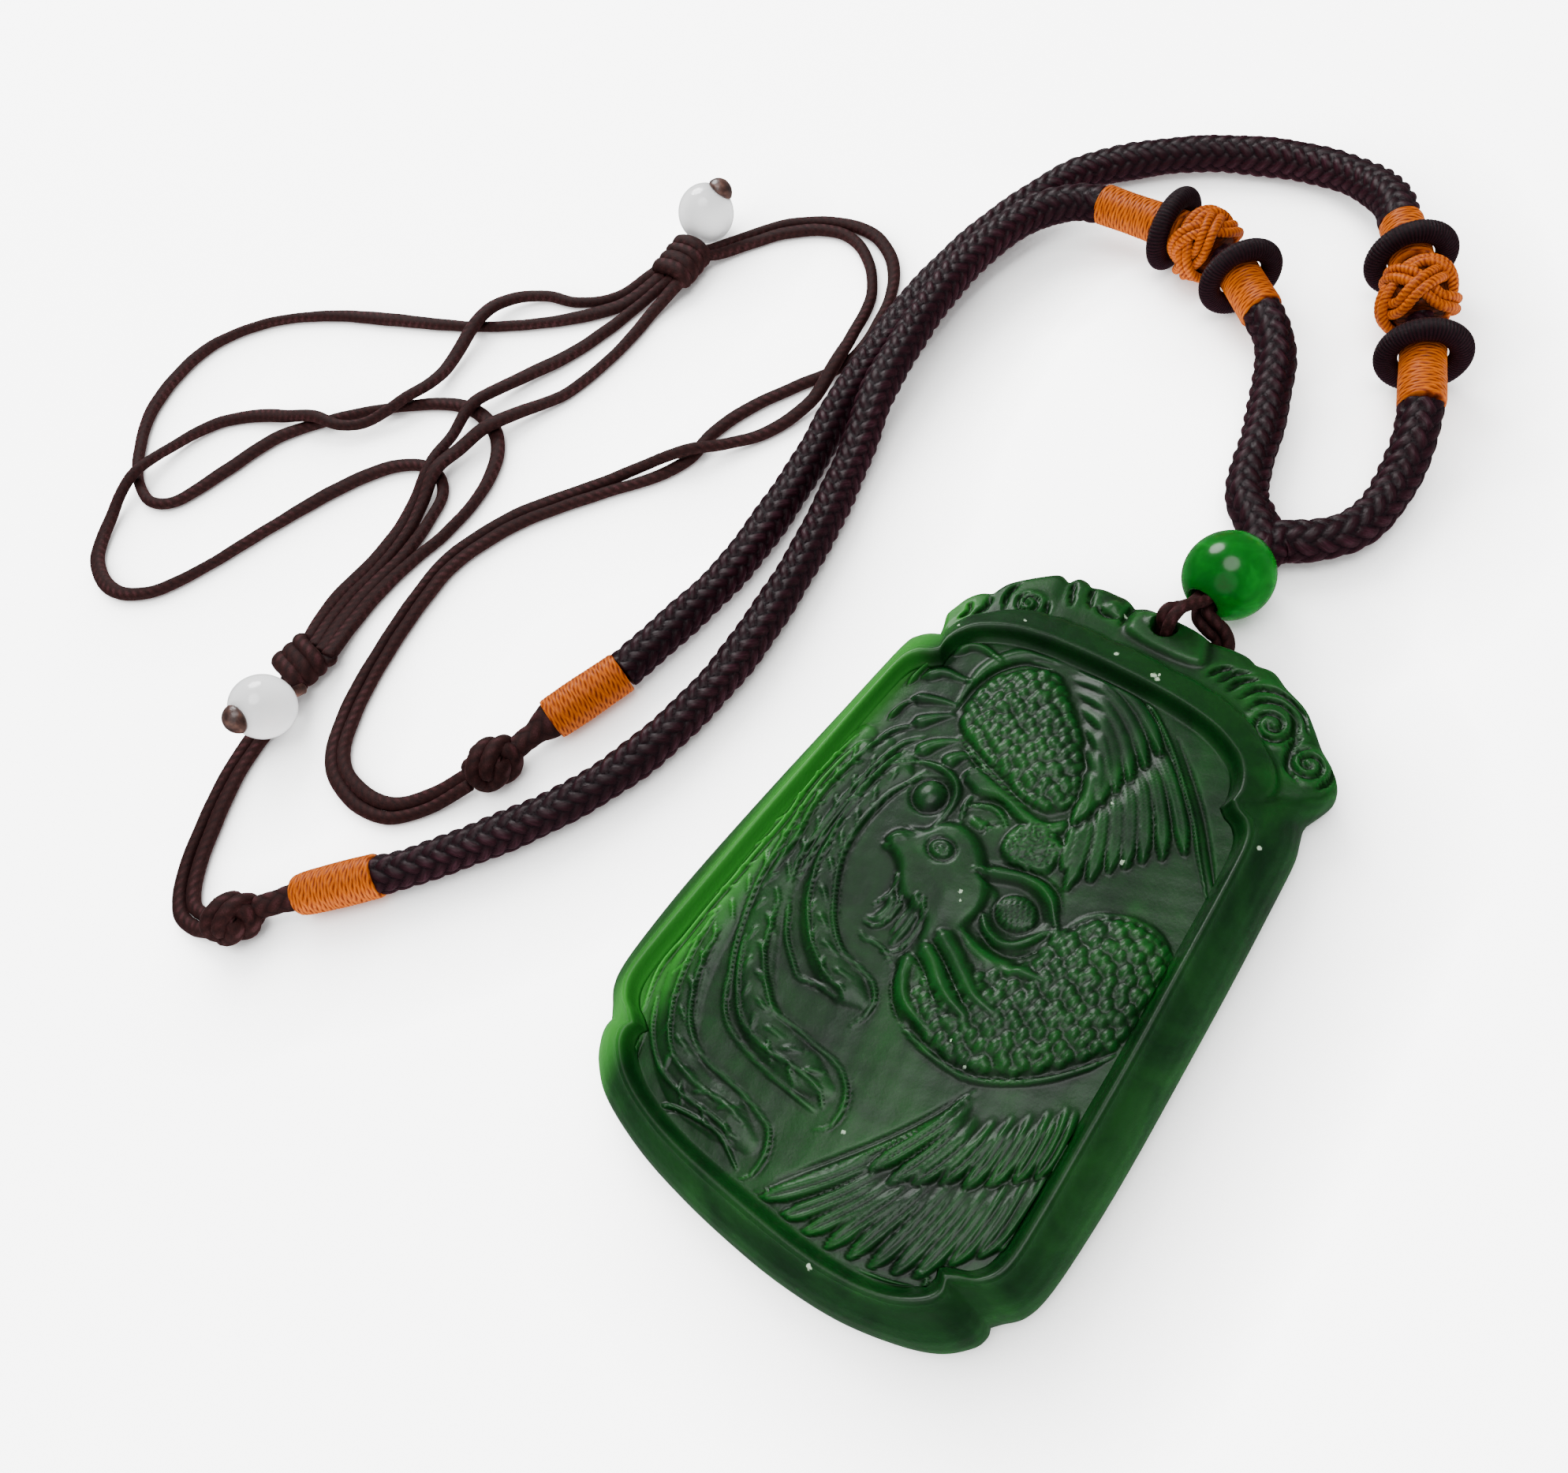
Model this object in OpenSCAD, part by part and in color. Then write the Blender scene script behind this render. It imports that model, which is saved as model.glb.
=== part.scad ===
// Carved jade plaque on a braided cord necklace, laid out flat.
// X runs across the plaque, Y along it towards its hole, Z up from the surface.
// The origin is the middle of the plaque's back. All sizes are in millimetres.

/* [Plaque] */
// Width of the plaque
plaque_w = 52.4; // [48:0.2:58]
// Height of the plaque, from its foot to the scrolls
plaque_h = 78.4; // [72:0.2:86]
// Thickness, from the back to the crest of the rim
plaque_t = 8.5; // [7.5:0.1:10]
// Width of the crest of the rim
crest_w = 0.75; // [0.5:0.05:1]
// Width of the rim's inner wall, from the crest down to the carved field
wall_w = 0.95; // [0.7:0.05:1.3]
// Depth of the carved field below the crest
field_drop = 1.9; // [1.5:0.1:2.5]
// Height of the phoenix relief above the field
relief_h = 1.2; // [0.6:0.1:1.4]
// Width of one carved feather
feather_w = 1.7; // [1.2:0.1:2.2]
// Inset of the flat back from the widest outline
back_inset = 1.3; // [0.8:0.1:1.8]

/* [Bail and green bead] */
// Diameter of the hole through the scrolls
hole_d = 3; // [2.4:0.1:3.2]
// Diameter of the thin cord through the hole
bail_d = 1.5; // [1.2:0.1:1.7]
// Diameter of the green bead
bead_d = 9.8; // [9:0.1:10.4]
// Diameter of the green bead's bore
bead_bore = 3.6; // [3.4:0.1:4.2]

/* [Braid and thread wraps] */
// Diameter of the braided cord
braid_d = 5; // [4.4:0.1:5]
// Diameter of the thread wraps on the braid
wrap_d = 5; // [4.8:0.1:5.6]
// Length of the lower thread wraps
lower_wrap_l = 9; // [8.2:0.1:10]
// Length of the upper wrap of the left group
left_wrap_l = 12; // [10:0.1:12.2]
// Length of the upper wrap of the right group
right_wrap_l = 7.5; // [6:0.1:7.6]
// Diameter of the cord core inside the button knots
core_d = 3.2; // [2.8:0.1:3.6]
// Diameter of the wraps where the braid ends
end_wrap_d = 5.4; // [5:0.1:5.4]
// Length of the wraps where the braid ends
end_wrap_l = 10.4; // [9:0.1:11]

/* [Rings and button knots] */
// Thickness of a thread-bound ring
ring_t = 2.6; // [2.2:0.1:3]
// Gap between a ring and the wrap inside it
ring_gap = 0.1; // [0.05:0.05:0.2]
// Diameter of the button knots
button_d = 9.6; // [8.6:0.1:10]
// Length of the left button knot
left_button_l = 6.2; // [5.2:0.1:6.6]
// Length of the right button knot
right_button_l = 8; // [7:0.1:8.4]
// Gap between a button knot and its core
button_gap = 0.05; // [0.05:0.05:0.15]

/* [Strands and sliding knots] */
// Diameter of the thin waxed strands
strand_d = 1.5; // [1.2:0.1:1.5]
// Diameter of the knots behind the end wraps
end_knot_d = 6; // [5:0.1:6.4]
// Length of the knots behind the end wraps
end_knot_l = 7; // [6:0.1:7.4]
// Width of the sliding knots
slide_w = 7; // [6.6:0.1:7.4]
// Thickness of one turn of a sliding knot
turn_d = 4.2; // [3.6:0.1:4.4]
// Distance between the turns of a sliding knot
turn_pitch = 1.4; // [1.2:0.1:1.5]

/* [White beads] */
// Diameter of the white beads
white_d = 8.4; // [8:0.1:8.6]
// Diameter of a white bead's bore
white_bore = 1.8; // [1.7:0.1:2.2]
// Diameter of the melted end on each bead
melt_d = 4; // [3:0.1:4.6]
// Clearance between a bead and the melted end
melt_gap = 0.05; // [0.05:0.01:0.1]

/* [Hidden] */
$fn = 48;

jade = "#1e4a26";
bead_green = "#0f7a26";
braid_brown = "#241418";
strand_brown = "#2d161b";
amber = "#c87a1e";
milk = "#eceef0";

half_w = plaque_w / 2;
half_h = plaque_h / 2;
field_z = plaque_t - field_drop;

// Outline of the base, in four runs between the notches of the rim. A point is a share of
// the half width and a share of the half height. A run is a list of smooth curves that meet in creases.
BASE_FOOT = [[[-0.889, -0.776], [-0.889, -0.798], [-0.870, -0.832], [-0.813, -0.885], [-0.695, -0.936],
  [-0.466, -0.977], [-0.229, -0.995], [0, -1], [0.229, -0.995], [0.466, -0.972], [0.668, -0.929],
  [0.802, -0.883], [0.882, -0.827], [0.901, -0.791], [0.893, -0.770]]];
BASE_RIGHT = [[[0.893, -0.770], [0.916, -0.750], [0.969, -0.704], [0.994, -0.625], [1, -0.459],
  [0.994, -0.281], [0.977, -0.051], [0.958, 0.179], [0.931, 0.434], [0.916, 0.548], [0.897, 0.599],
  [0.882, 0.635], [0.882, 0.663]]];
BASE_TOP = [
  [[0.882, 0.663], [0.908, 0.709], [0.920, 0.750], [0.878, 0.791], [0.802, 0.832], [0.737, 0.878],
    [0.668, 0.921], [0.569, 0.952], [0.496, 0.980], [0.424, 0.977]],
  [[0.424, 0.977], [0.374, 0.990], [0.305, 0.990], [0.229, 0.982]],
  [[0.229, 0.982], [0.134, 0.996], [0.019, 1], [-0.073, 0.996], [-0.118, 0.980]],
  [[-0.118, 0.980], [-0.168, 0.996], [-0.221, 0.997], [-0.282, 0.996], [-0.332, 0.985]],
  [[-0.332, 0.985], [-0.359, 0.995], [-0.401, 0.995], [-0.427, 0.969]],
  [[-0.427, 0.969], [-0.481, 0.980], [-0.542, 0.952], [-0.603, 0.916], [-0.653, 0.878], [-0.679, 0.829]],
  [[-0.679, 0.829], [-0.725, 0.814], [-0.763, 0.781], [-0.782, 0.740], [-0.794, 0.702], [-0.779, 0.653]]];
BASE_LEFT = [[[-0.779, 0.653], [-0.824, 0.640], [-0.859, 0.615], [-0.882, 0.582], [-0.901, 0.459],
  [-0.920, 0.306], [-0.958, 0.026], [-0.992, -0.281], [-1, -0.459], [-0.992, -0.625], [-0.969, -0.699],
  [-0.916, -0.750], [-0.889, -0.776]]];

// The crest of the rim is mirrored about the middle, so its runs hold the right half only.
CREST_FOOT_HALF = [[0, -0.916], [0.267, -0.911], [0.458, -0.893], [0.611, -0.860], [0.710, -0.814],
  [0.744, -0.776], [0.733, -0.745]];
CREST_RIGHT = [[0.733, -0.745], [0.771, -0.727], [0.832, -0.699], [0.870, -0.645], [0.874, -0.536],
  [0.859, -0.306], [0.844, -0.102], [0.821, 0.128], [0.794, 0.383], [0.775, 0.485], [0.740, 0.526],
  [0.695, 0.543], [0.664, 0.561]];
CREST_TOP_HALF = [[0.664, 0.561], [0.664, 0.599], [0.637, 0.643], [0.580, 0.684], [0.458, 0.724],
  [0.305, 0.745], [0.153, 0.753], [0, 0.755]];

// Section of the rim. Each row has the distance in from the base as a share of back_inset, the
// share of the way from the base to the crest, and the height as a share of the thickness.
FOOT_ROWS = [[1, 0, 0], [0.35, 0, 0.035], [0.08, 0, 0.12], [0, 0, 0.25]];
SIDE_ROWS = [[0, 0.06, 0.40], [0, 0.20, 0.575], [0, 0.42, 0.72], [0, 0.66, 0.82], [0, 0.86, 0.885],
  [0, 0.95, 0.93], [0, 1, 0.98]];
SCROLL_ROWS = [[0, 0.01, 0.42], [0, 0.035, 0.56], [0, 0.10, 0.62], [0, 0.40, 0.68], [0, 0.67, 0.70],
  [0, 0.72, 0.88], [0, 1, 0.98]];
CREST_EDGE = 0.975;

// Shares of the relief's height: how high the broad shapes rise, and how far each kind is sunk in the field
LOW_TOP = 0.55;
LOW_SUNK = 0.6;
HIGH_SUNK = 0.4;
// Shares of a feather's width: half of it at the ends, the swell in the middle, small feathers and the oval
FEATHER_END = 0.30;
FEATHER_SWELL = 0.20;
SMALL_FEATHER = 0.7;
OVAL_R = 0.75;

// Relief of the phoenix, in hundredths of the half width and the half height.
// A region is a closed outline, and a feather is the line along its middle.
UPPER_BODY = [[-20, 67], [-32, 64], [-41, 57], [-44, 50], [-43, 42], [-37, 37], [-25, 34], [-11, 31], [0, 29],
  [10, 29], [17, 35], [16, 41], [11, 48], [3, 54], [-8, 61]];
LOWER_BODY = [[41, 8], [50, 15], [62, 17], [72, 13], [74, 0], [73, -13], [64, -24], [50, -33], [31, -37],
  [12, -33], [4, -25], [6, -18], [23, -15], [40, -8]];
HEAD = [[-37, 2], [-30, 7], [-25, 11], [-13, 13], [-2, 10], [1, 0], [-2, -8], [-13, -10], [-25, -4], [-31, -2]];
NECK_PATCH = [[4, 24], [13, 28], [24, 24], [25, 18], [19, 14], [4, 14], [1, 19]];
WING_FEATHERS = [[[-15, 69], [12, 66], [34, 55], [57, 40]], [[-8, 65], [17, 60], [36, 47], [53, 35]],
  [[8, 58], [23, 51], [36, 40], [46, 30]], [[17, 50], [28, 42], [35, 33], [41, 26]],
  [[21, 38], [27, 32], [31, 25], [32, 17]], [[0, 71], [23, 66], [46, 55], [68, 34]]];
TAIL_FEATHERS = [[[48, -40], [46, -51], [36, -64], [19, -78]], [[55, -40], [53, -54], [42, -69], [21, -84]],
  [[62, -37], [61, -56], [50, -74], [34, -84]], [[69, -32], [69, -54], [61, -71], [50, -81]],
  [[74, -28], [75, -48], [71, -66], [62, -77]]];
FLAMES = [[[-61, 58], [-55, 64], [-42, 62]], [[-66, 47], [-58, 53], [-48, 52]], [[-64, 40], [-56, 43], [-47, 44]],
  [[-54, 35], [-50, 39], [-46, 41]], [[-46, 28], [-43, 32], [-37, 36]]];
CURLS = [[[-50, 23], [-42, 26], [-34, 27], [-27, 25], [-23, 21], [-23, 15]], [[-19, 24], [-18, 20], [-16, 16]],
  [[-18, 21], [-13, 23], [-3, 22]], [[-23, -5], [-22, -10], [-25, -15]], [[-19, -8], [-16, -13], [-22, -19]],
  [[-11, -10], [-11, -18], [-15, -23]], [[-1, 7], [8, 8], [13, 11], [22, 13], [29, 11], [37, 5]],
  [[12, 6], [13, 1], [23, -3], [31, 2]], [[15, -3], [28, -6], [38, 2]], [[12, -10], [23, -11], [34, -10], [43, -8]]];
PLUMES = [[[-51, 20], [-54, 5], [-51, -13], [-42, -26], [-27, -34], [-9, -37]],
  [[-62, 20], [-65, 0], [-62, -23], [-52, -41], [-38, -55], [-19, -59], [4, -60]],
  [[-71, 15], [-74, -10], [-73, -36], [-67, -59], [-53, -74], [-30, -77], [-9, -79]]];
// Width of a plume in feathers
PLUME_W = 1.8;
FLOW_LINES = [[[31, 87], [36, 92]], [[39, 86], [45, 91]], [[44, 85], [48, 89], [57, 91], [69, 87], [74, 82]]];
HEART = [[-11, 95], [-10, 89], [0, 87.5], [14, 87], [25, 90], [22, 96], [12, 98], [-4, 98]];
SPIRALS = [[58, 81, 1.9], [77.5, 77, 1.6], [-47, 82.5, 1.1], [-18, 94, 1.2]];
HOLE_AT = [4, 94];
HEAD_CURL = [-32, 18.5];
BREAST_OVAL = [22, 4];
// How far outlines are let out, so that those that touch become one
OUTLINE_JOIN = 0.03;
// Shares of the thickness: tops of the heart and the scrolls, and how deep they start
HEART_TOP = 0.77;
SCROLL_TOP = 0.74;
SCROLL_SUNK = 0.5;
// How far a cutter reaches past what it cuts
CUT_OVER = 1;
// Flat sides of the drawn cords and of the small discs in the relief
BRAID_SIDES = 12;
STRAND_SIDES = 8;
DISC_SIDES = 24;

// Points of a smooth curve through the points p, n to a span
function smooth_at(a, b, c, d, t) = 0.5 * (2 * b + (c - a) * t + (2 * a - 5 * b + 4 * c - d) * t * t
  + (3 * b - a - 3 * c + d) * t * t * t);
function smooth(p, n) = let(e = len(p) - 1) concat([for (i = [0:e - 1], k = [0:n - 1])
  smooth_at(p[max(i - 1, 0)], p[i], p[i + 1], p[min(i + 2, e)], k / n)], [p[e]]);
function smooth_loop(p, n) = let(e = len(p)) [for (i = [0:e - 1], k = [0:n - 1])
  smooth_at(p[(i + e - 1) % e], p[i], p[(i + 1) % e], p[(i + 2) % e], k / n)];
function unit(v) = v / norm(v);
function mirrored(p) = [for (i = [len(p) - 1:-1:0]) [-p[i][0], p[i][1]]];
function but_first(p) = [for (i = [1:len(p) - 1]) p[i]];
function on_plaque(p) = [p[0] * half_w / 100, p[1] * half_h / 100];
function scaled(p) = [p[0] * half_w, p[1] * half_h];

// Points of a run without its last one, and the lengths along it
function run_points(run) = [for (c = run) let(s = smooth(c, 2)) for (i = [0:len(s) - 2]) scaled(s[i])];
function lengths(p, i = 1, out = [0]) = i == len(p) ? out
  : lengths(p, i + 1, concat(out, [out[i - 1] + norm(p[i] - p[i - 1])]));
function span_of(c, s, i = 0) = i >= len(c) - 2 || c[i + 1] > s ? i : span_of(c, s, i + 1);
function at_length(p, c, s) = let(i = span_of(c, s)) p[i] + (p[i + 1] - p[i]) * (s - c[i]) / (c[i + 1] - c[i]);

// Pairs of a base point and its crest point, matched by their share of the run's length
function run_pairs(run, crest) = let(b = run_points(run), last = run[len(run) - 1],
    close = scaled(last[len(last) - 1]), cb = lengths(concat(b, [close])), total = cb[len(b)],
    c = [for (q = smooth(crest, 4)) scaled(q)], cc = lengths(c), ct = cc[len(c) - 1])
  [for (i = [0:len(b) - 1]) [b[i], at_length(c, cc, ct * cb[i] / total)]];

crest_foot = concat(mirrored(CREST_FOOT_HALF), but_first(CREST_FOOT_HALF));
crest_top = concat(CREST_TOP_HALF, but_first(mirrored(CREST_TOP_HALF)));
FOOT_PAIRS = run_pairs(BASE_FOOT, crest_foot);
RIGHT_PAIRS = run_pairs(BASE_RIGHT, CREST_RIGHT);
TOP_PAIRS = run_pairs(BASE_TOP, crest_top);
LEFT_PAIRS = run_pairs(BASE_LEFT, mirrored(CREST_RIGHT));
PAIRS = concat(FOOT_PAIRS, RIGHT_PAIRS, TOP_PAIRS, LEFT_PAIRS);
side_count = len(FOOT_PAIRS) + len(RIGHT_PAIRS);
function is_top(i) = i > side_count && i < side_count + len(TOP_PAIRS);

// One point of the plaque's skin, from the pair i and a row of the section
function skin(pair, row, extra = 0) = let(b = pair[0], c = pair[1], u = unit(c - b),
  q = b + u * (row[0] * back_inset + extra) + (c - b) * row[1]) [q[0], q[1], row[2] * plaque_t];
function rows_of(i) = concat(FOOT_ROWS, is_top(i) ? SCROLL_ROWS : SIDE_ROWS);
function skin_column(i) = concat([for (r = rows_of(i)) skin(PAIRS[i], r)],
  [skin(PAIRS[i], [0, 1, 1], crest_w / 2), skin(PAIRS[i], [0, 1, CREST_EDGE], crest_w),
    skin(PAIRS[i], [0, 1, field_z / plaque_t], crest_w + wall_w)]);

// Outline of a tapering feather of width w along the points p
function feather(p, w) = let(s = smooth([for (q = p) on_plaque(q)], 3), e = len(s) - 1,
    side = [for (i = [0:e]) let(t = unit(s[min(i + 1, e)] - s[max(i - 1, 0)])) [-t[1], t[0]]],
    half = [for (i = [0:e]) w * (FEATHER_END + FEATHER_SWELL * sin(180 * i / e))])
  concat([for (i = [0:e]) s[i] + side[i] * half[i]], [for (i = [e:-1:0]) s[i] - side[i] * half[i]]);

// Outlines that touch are joined before they are raised from sunk to top
module raised(top, sunk) {
  translate([0, 0, sunk]) linear_extrude(top - sunk) offset(delta = OUTLINE_JOIN) children();
}
module disc(p, r) translate(on_plaque(p)) circle(r = r, $fn = DISC_SIDES);

// Solid body of the plaque as one closed skin, from the back up over the rim to the field
module plaque_body() {
  columns = [for (i = [0:len(PAIRS) - 1]) skin_column(i)];
  n = len(columns);
  m = len(columns[0]);
  polyhedron(points = concat([for (j = [0:m - 1], i = [0:n - 1]) columns[i][j]], [[0, 0, 0], [0, 0, field_z]]),
    faces = concat([for (i = [0:n - 1]) [m * n, i, (i + 1) % n]],
      [for (i = [0:n - 1]) [m * n + 1, (m - 1) * n + (i + 1) % n, (m - 1) * n + i]],
      [for (j = [0:m - 2], i = [0:n - 1]) let(k = (i + 1) % n) each
        [[j * n + i, (j + 1) * n + i, (j + 1) * n + k], [j * n + i, (j + 1) * n + k, j * n + k]]]));
}

module phoenix() {
  raised(field_z + relief_h * LOW_TOP, field_z - relief_h * LOW_SUNK) {
    for (r = [UPPER_BODY, LOWER_BODY, HEAD, NECK_PATCH]) polygon(smooth_loop([for (q = r) on_plaque(q)], 2));
    for (p = PLUMES) polygon(feather(p, feather_w * PLUME_W));
  }
  raised(field_z + relief_h, field_z - relief_h * HIGH_SUNK) {
    for (p = concat(WING_FEATHERS, TAIL_FEATHERS)) polygon(feather(p, feather_w));
    for (p = concat(FLAMES, CURLS)) polygon(feather(p, feather_w * SMALL_FEATHER));
    disc(HEAD_CURL, feather_w);
    disc(BREAST_OVAL, feather_w * OVAL_R);
  }
}

module scrolls() {
  raised(plaque_t * HEART_TOP, plaque_t * SCROLL_SUNK) polygon(smooth_loop([for (q = HEART) on_plaque(q)], 2));
  raised(plaque_t * SCROLL_TOP, plaque_t * SCROLL_SUNK) {
    for (p = FLOW_LINES) polygon(feather(p, feather_w * SMALL_FEATHER));
    for (s = SPIRALS) disc(s, s[2]);
  }
}

// Hole through the heart, and the groove in the back that lets the cord out at the edge
groove_az = 26;
groove_clear = 0.2;
groove_l = half_h / 4;
module bail_cut() {
  at = on_plaque(HOLE_AT);
  translate([at[0], at[1], -CUT_OVER]) cylinder(d = hole_d, h = plaque_t + 2 * CUT_OVER);
  translate([at[0], at[1], 0]) rotate([0, 0, groove_az])
    translate([0, -bail_d / 2 - groove_clear, -CUT_OVER])
      cube([groove_l, bail_d + 2 * groove_clear, CUT_OVER + bail_d + groove_clear]);
}

module plaque() {
  color(jade) difference() {
    union() {
      plaque_body();
      phoenix();
      scrolls();
    }
    bail_cut();
  }
}

// Unit vector at an azimuth and a rise, and a frame whose Z axis points along it
function heading(az, up = 0) = [cos(az) * cos(up), sin(az) * cos(up), sin(up)];
module along(p, az, up = 0) {
  translate(p) rotate([0, 0, az]) rotate([0, 90 - up, 0]) children();
}

// Frames carried along a route without twist, and the tube swept over them
function tangent(p, i) = unit(p[min(i + 1, len(p) - 1)] - p[max(i - 1, 0)]);
function carried(p, i = 0, up = [0, 0, 1], out = []) = i == len(p) ? out
  : let(t = tangent(p, i), v = unit(up - (up * t) * t)) carried(p, i + 1, v, concat(out, [v]));
module cord(p, d, sides) {
  n = len(p);
  up = carried(p);
  points = [for (i = [0:n - 1]) let(t = tangent(p, i), w = cross(t, up[i]))
    for (k = [0:sides - 1]) p[i] + d / 2 * (cos(360 * k / sides) * up[i] + sin(360 * k / sides) * w)];
  faces = concat([[for (k = [0:sides - 1]) k]], [[for (k = [sides - 1:-1:0]) (n - 1) * sides + k]],
    [for (i = [0:n - 2], k = [0:sides - 1]) let(a = i * sides + k, b = i * sides + (k + 1) % sides)
      each [[a, a + sides, b + sides], [a, b + sides, b]]]);
  polyhedron(points = points, faces = faces);
}

// Routes of the braid. The two arms meet at the fold above the green bead.
LEFT_ARM = [[3.9, 51.9, 2.6], [2.6, 54.8, 2.5], [-0.9, 58.3, 2.5], [-2.6, 62.6, 2.5], [-3.9, 67.6, 2.6],
  [-5.7, 72.7, 3.1], [-7.4, 76.9, 4.1], [-9.6, 79.9, 4.9], [-12, 82, 5.2]];
RIGHT_ARM = [[3.9, 51.9, 2.6], [5, 54.5, 2.5], [7.8, 56.2, 2.5], [10.5, 58.9, 2.5], [11.8, 62.6, 2.5],
  [11.9, 67.6, 2.8], [11.3, 71.9, 4.1], [10, 76, 5.2]];
LEFT_NECK = [[-39.5, 91.5, 5.2], [-43.3, 90.4, 5.2], [-47, 86.8, 5.3], [-49.3, 80.5, 5.5], [-50.3, 74, 5.5],
  [-50.3, 67.5, 5.4], [-49.4, 59, 5], [-48.2, 51.3, 4.4], [-46.6, 45.5, 3.2], [-45.2, 40, 2.5],
  [-42.4, 29, 2.5], [-40.6, 18, 2.5], [-40.1, 8, 2.5], [-41.4, -3, 2.5], [-44.2, -12, 2.5],
  [-48.5, -20, 2.5], [-55.5, -30, 2.6], [-59.1, -34.3, 2.7]];
RIGHT_NECK = [[-4.5, 101.5, 5.2], [-7.5, 105.6, 4.6], [-13.5, 109.6, 3.2], [-22, 110.8, 2.5],
  [-32, 108.7, 2.5], [-40, 104.7, 2.5], [-47.5, 98.5, 2.5], [-51.3, 90, 2.5], [-53.8, 80, 2.5],
  [-54.5, 70, 2.5], [-54.2, 60, 2.5], [-53, 50, 2.5], [-50.9, 40, 2.5], [-49.5, 30, 2.5],
  [-49.1, 20, 2.5], [-50.3, 10, 2.6], [-51.5, 2.2, 2.7]];

// Route of the bail cord: through the bead, over the edge, down the hole, along the groove and back
BAIL = [[3.85, 50.9, 5.75], [3.2, 46.5, 5.75], [2.55, 42.1, 5.75], [2.1, 40.5, 6.4], [1.6, 39.3, 7.2],
  [1.25, 38.3, 7.7], [1.05, 37.4, 7.4], [1.05, 36.95, 6.6], [1.05, 36.85, 5], [1.05, 36.85, 2.6],
  [1.2, 36.95, 1.4], [1.9, 37.3, 0.85], [3.2, 37.9, 0.8], [4.6, 38.6, 0.8], [5.9, 39.3, 0.9],
  [6.4, 40.1, 1.5], [5.6, 40.8, 2.4], [4.3, 40.9, 3.3], [3, 41.4, 3.95], [2.8, 43, 4.05],
  [3.2, 46.5, 4.05], [3.85, 50.9, 4.05]];

// Routes of the thin strands, with low humps where one crosses another
RUN_A_1 = [[-59.6, -18.6, 1.9], [-62.6, -23.3, 0.9], [-66.4, -27.1, 0.75], [-72, -28.1, 0.75],
  [-77.5, -26.3, 0.75], [-81.2, -20.6, 0.75], [-84.2, -11.8, 0.75], [-86.1, -2, 0.75], [-86.1, 3.9, 0.75],
  [-83.3, 11.6, 0.75], [-79.3, 17.4, 0.75], [-74.3, 23.4, 0.75], [-70.2, 28, 0.75], [-67.7, 32.8, 0.75],
  [-67.5, 38.2, 0.75], [-65.6, 44, 0.75], [-62, 50, 0.75], [-58.8, 54.8, 0.75], [-57.8, 59, 0.75],
  [-58.4, 64, 0.75], [-60.2, 70, 0.75], [-64, 75.4, 0.75], [-70, 78.8, 0.75], [-77, 78.6, 0.75],
  [-83.6, 75.6, 0.75], [-88, 71.2, 0.75], [-91, 66.6, 1.2], [-91.9, 64.4, 2]];
RUN_A_2 = [[-58.4, -19.6, 1.9], [-61.5, -24.7, 0.9], [-65.7, -28.8, 0.75], [-72, -29.8, 0.75],
  [-78.4, -27.6, 0.75], [-82.7, -21.3, 0.75], [-85.8, -12, 0.75], [-87.8, -2, 0.75], [-87.8, 4.2, 0.75],
  [-84.8, 12.4, 0.75], [-80.6, 18.5, 0.75], [-75.8, 24.4, 0.9], [-71.8, 28.9, 1.7], [-67.6, 33, 2.55],
  [-63.8, 37.4, 1.3], [-60.4, 42, 0.75], [-58, 48.4, 1.3], [-58.2, 54.5, 2.5], [-60.1, 61, 1.4],
  [-62.4, 68, 0.75], [-66.6, 73.4, 0.75], [-72, 76.7, 0.75], [-77.4, 76.7, 0.75], [-82.8, 73.9, 0.75],
  [-86.6, 70, 0.75], [-89.4, 65.9, 1.2], [-90.3, 64.1, 2]];
RUN_B_1 = [[-73.2, -51.7, 2], [-76.6, -53, 0.9], [-80.4, -52.8, 0.75], [-84.7, -48.7, 0.75],
  [-88.7, -41.4, 0.75], [-90.8, -36.3, 0.75], [-91.8, -32, 0.75], [-92.6, -27, 0.8], [-93.7, -22.2, 1.7]];
RUN_B_2 = [[-73.8, -50, 2], [-77, -51.2, 0.9], [-79.7, -51, 0.75], [-83.2, -47.4, 0.75],
  [-87.1, -40.6, 0.75], [-89.1, -35.8, 0.75], [-90, -32, 0.75], [-90.7, -27, 0.8], [-92, -22.2, 1.7]];
LOOP_1 = [[-95.6, 58, 2.2], [-99.1, 52.4, 0.9], [-104.6, 48.8, 0.75], [-111, 47.4, 0.9], [-115.4, 43.6, 1.7],
  [-116.2, 38.2, 2.5], [-115, 30, 1.5], [-114.2, 25.5, 2], [-115.4, 20.6, 2.5], [-118.4, 15, 1.7],
  [-122, 12, 1.9], [-127.5, 10.8, 2.5], [-133, 9, 1.6], [-140, 6.5, 0.75], [-145.5, 2, 0.75],
  [-148.2, -5, 1.3], [-148.2, -12.6, 2.5], [-146, -20, 1.1], [-141.5, -26, 0.75], [-134, -28, 0.75],
  [-127.5, -25, 0.75], [-123, -18, 0.75], [-119, -8, 0.75], [-114.5, 2.5, 0.75], [-110, 9.5, 0.75],
  [-105.5, 12.8, 0.75], [-101.2, 13.2, 0.75], [-97.4, 11, 0.75], [-95.5, 6, 0.75], [-94.5, 0, 0.75],
  [-94.8, -6, 0.75], [-94.2, -12, 0.9], [-92.3, -17.4, 1.7]];
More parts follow.
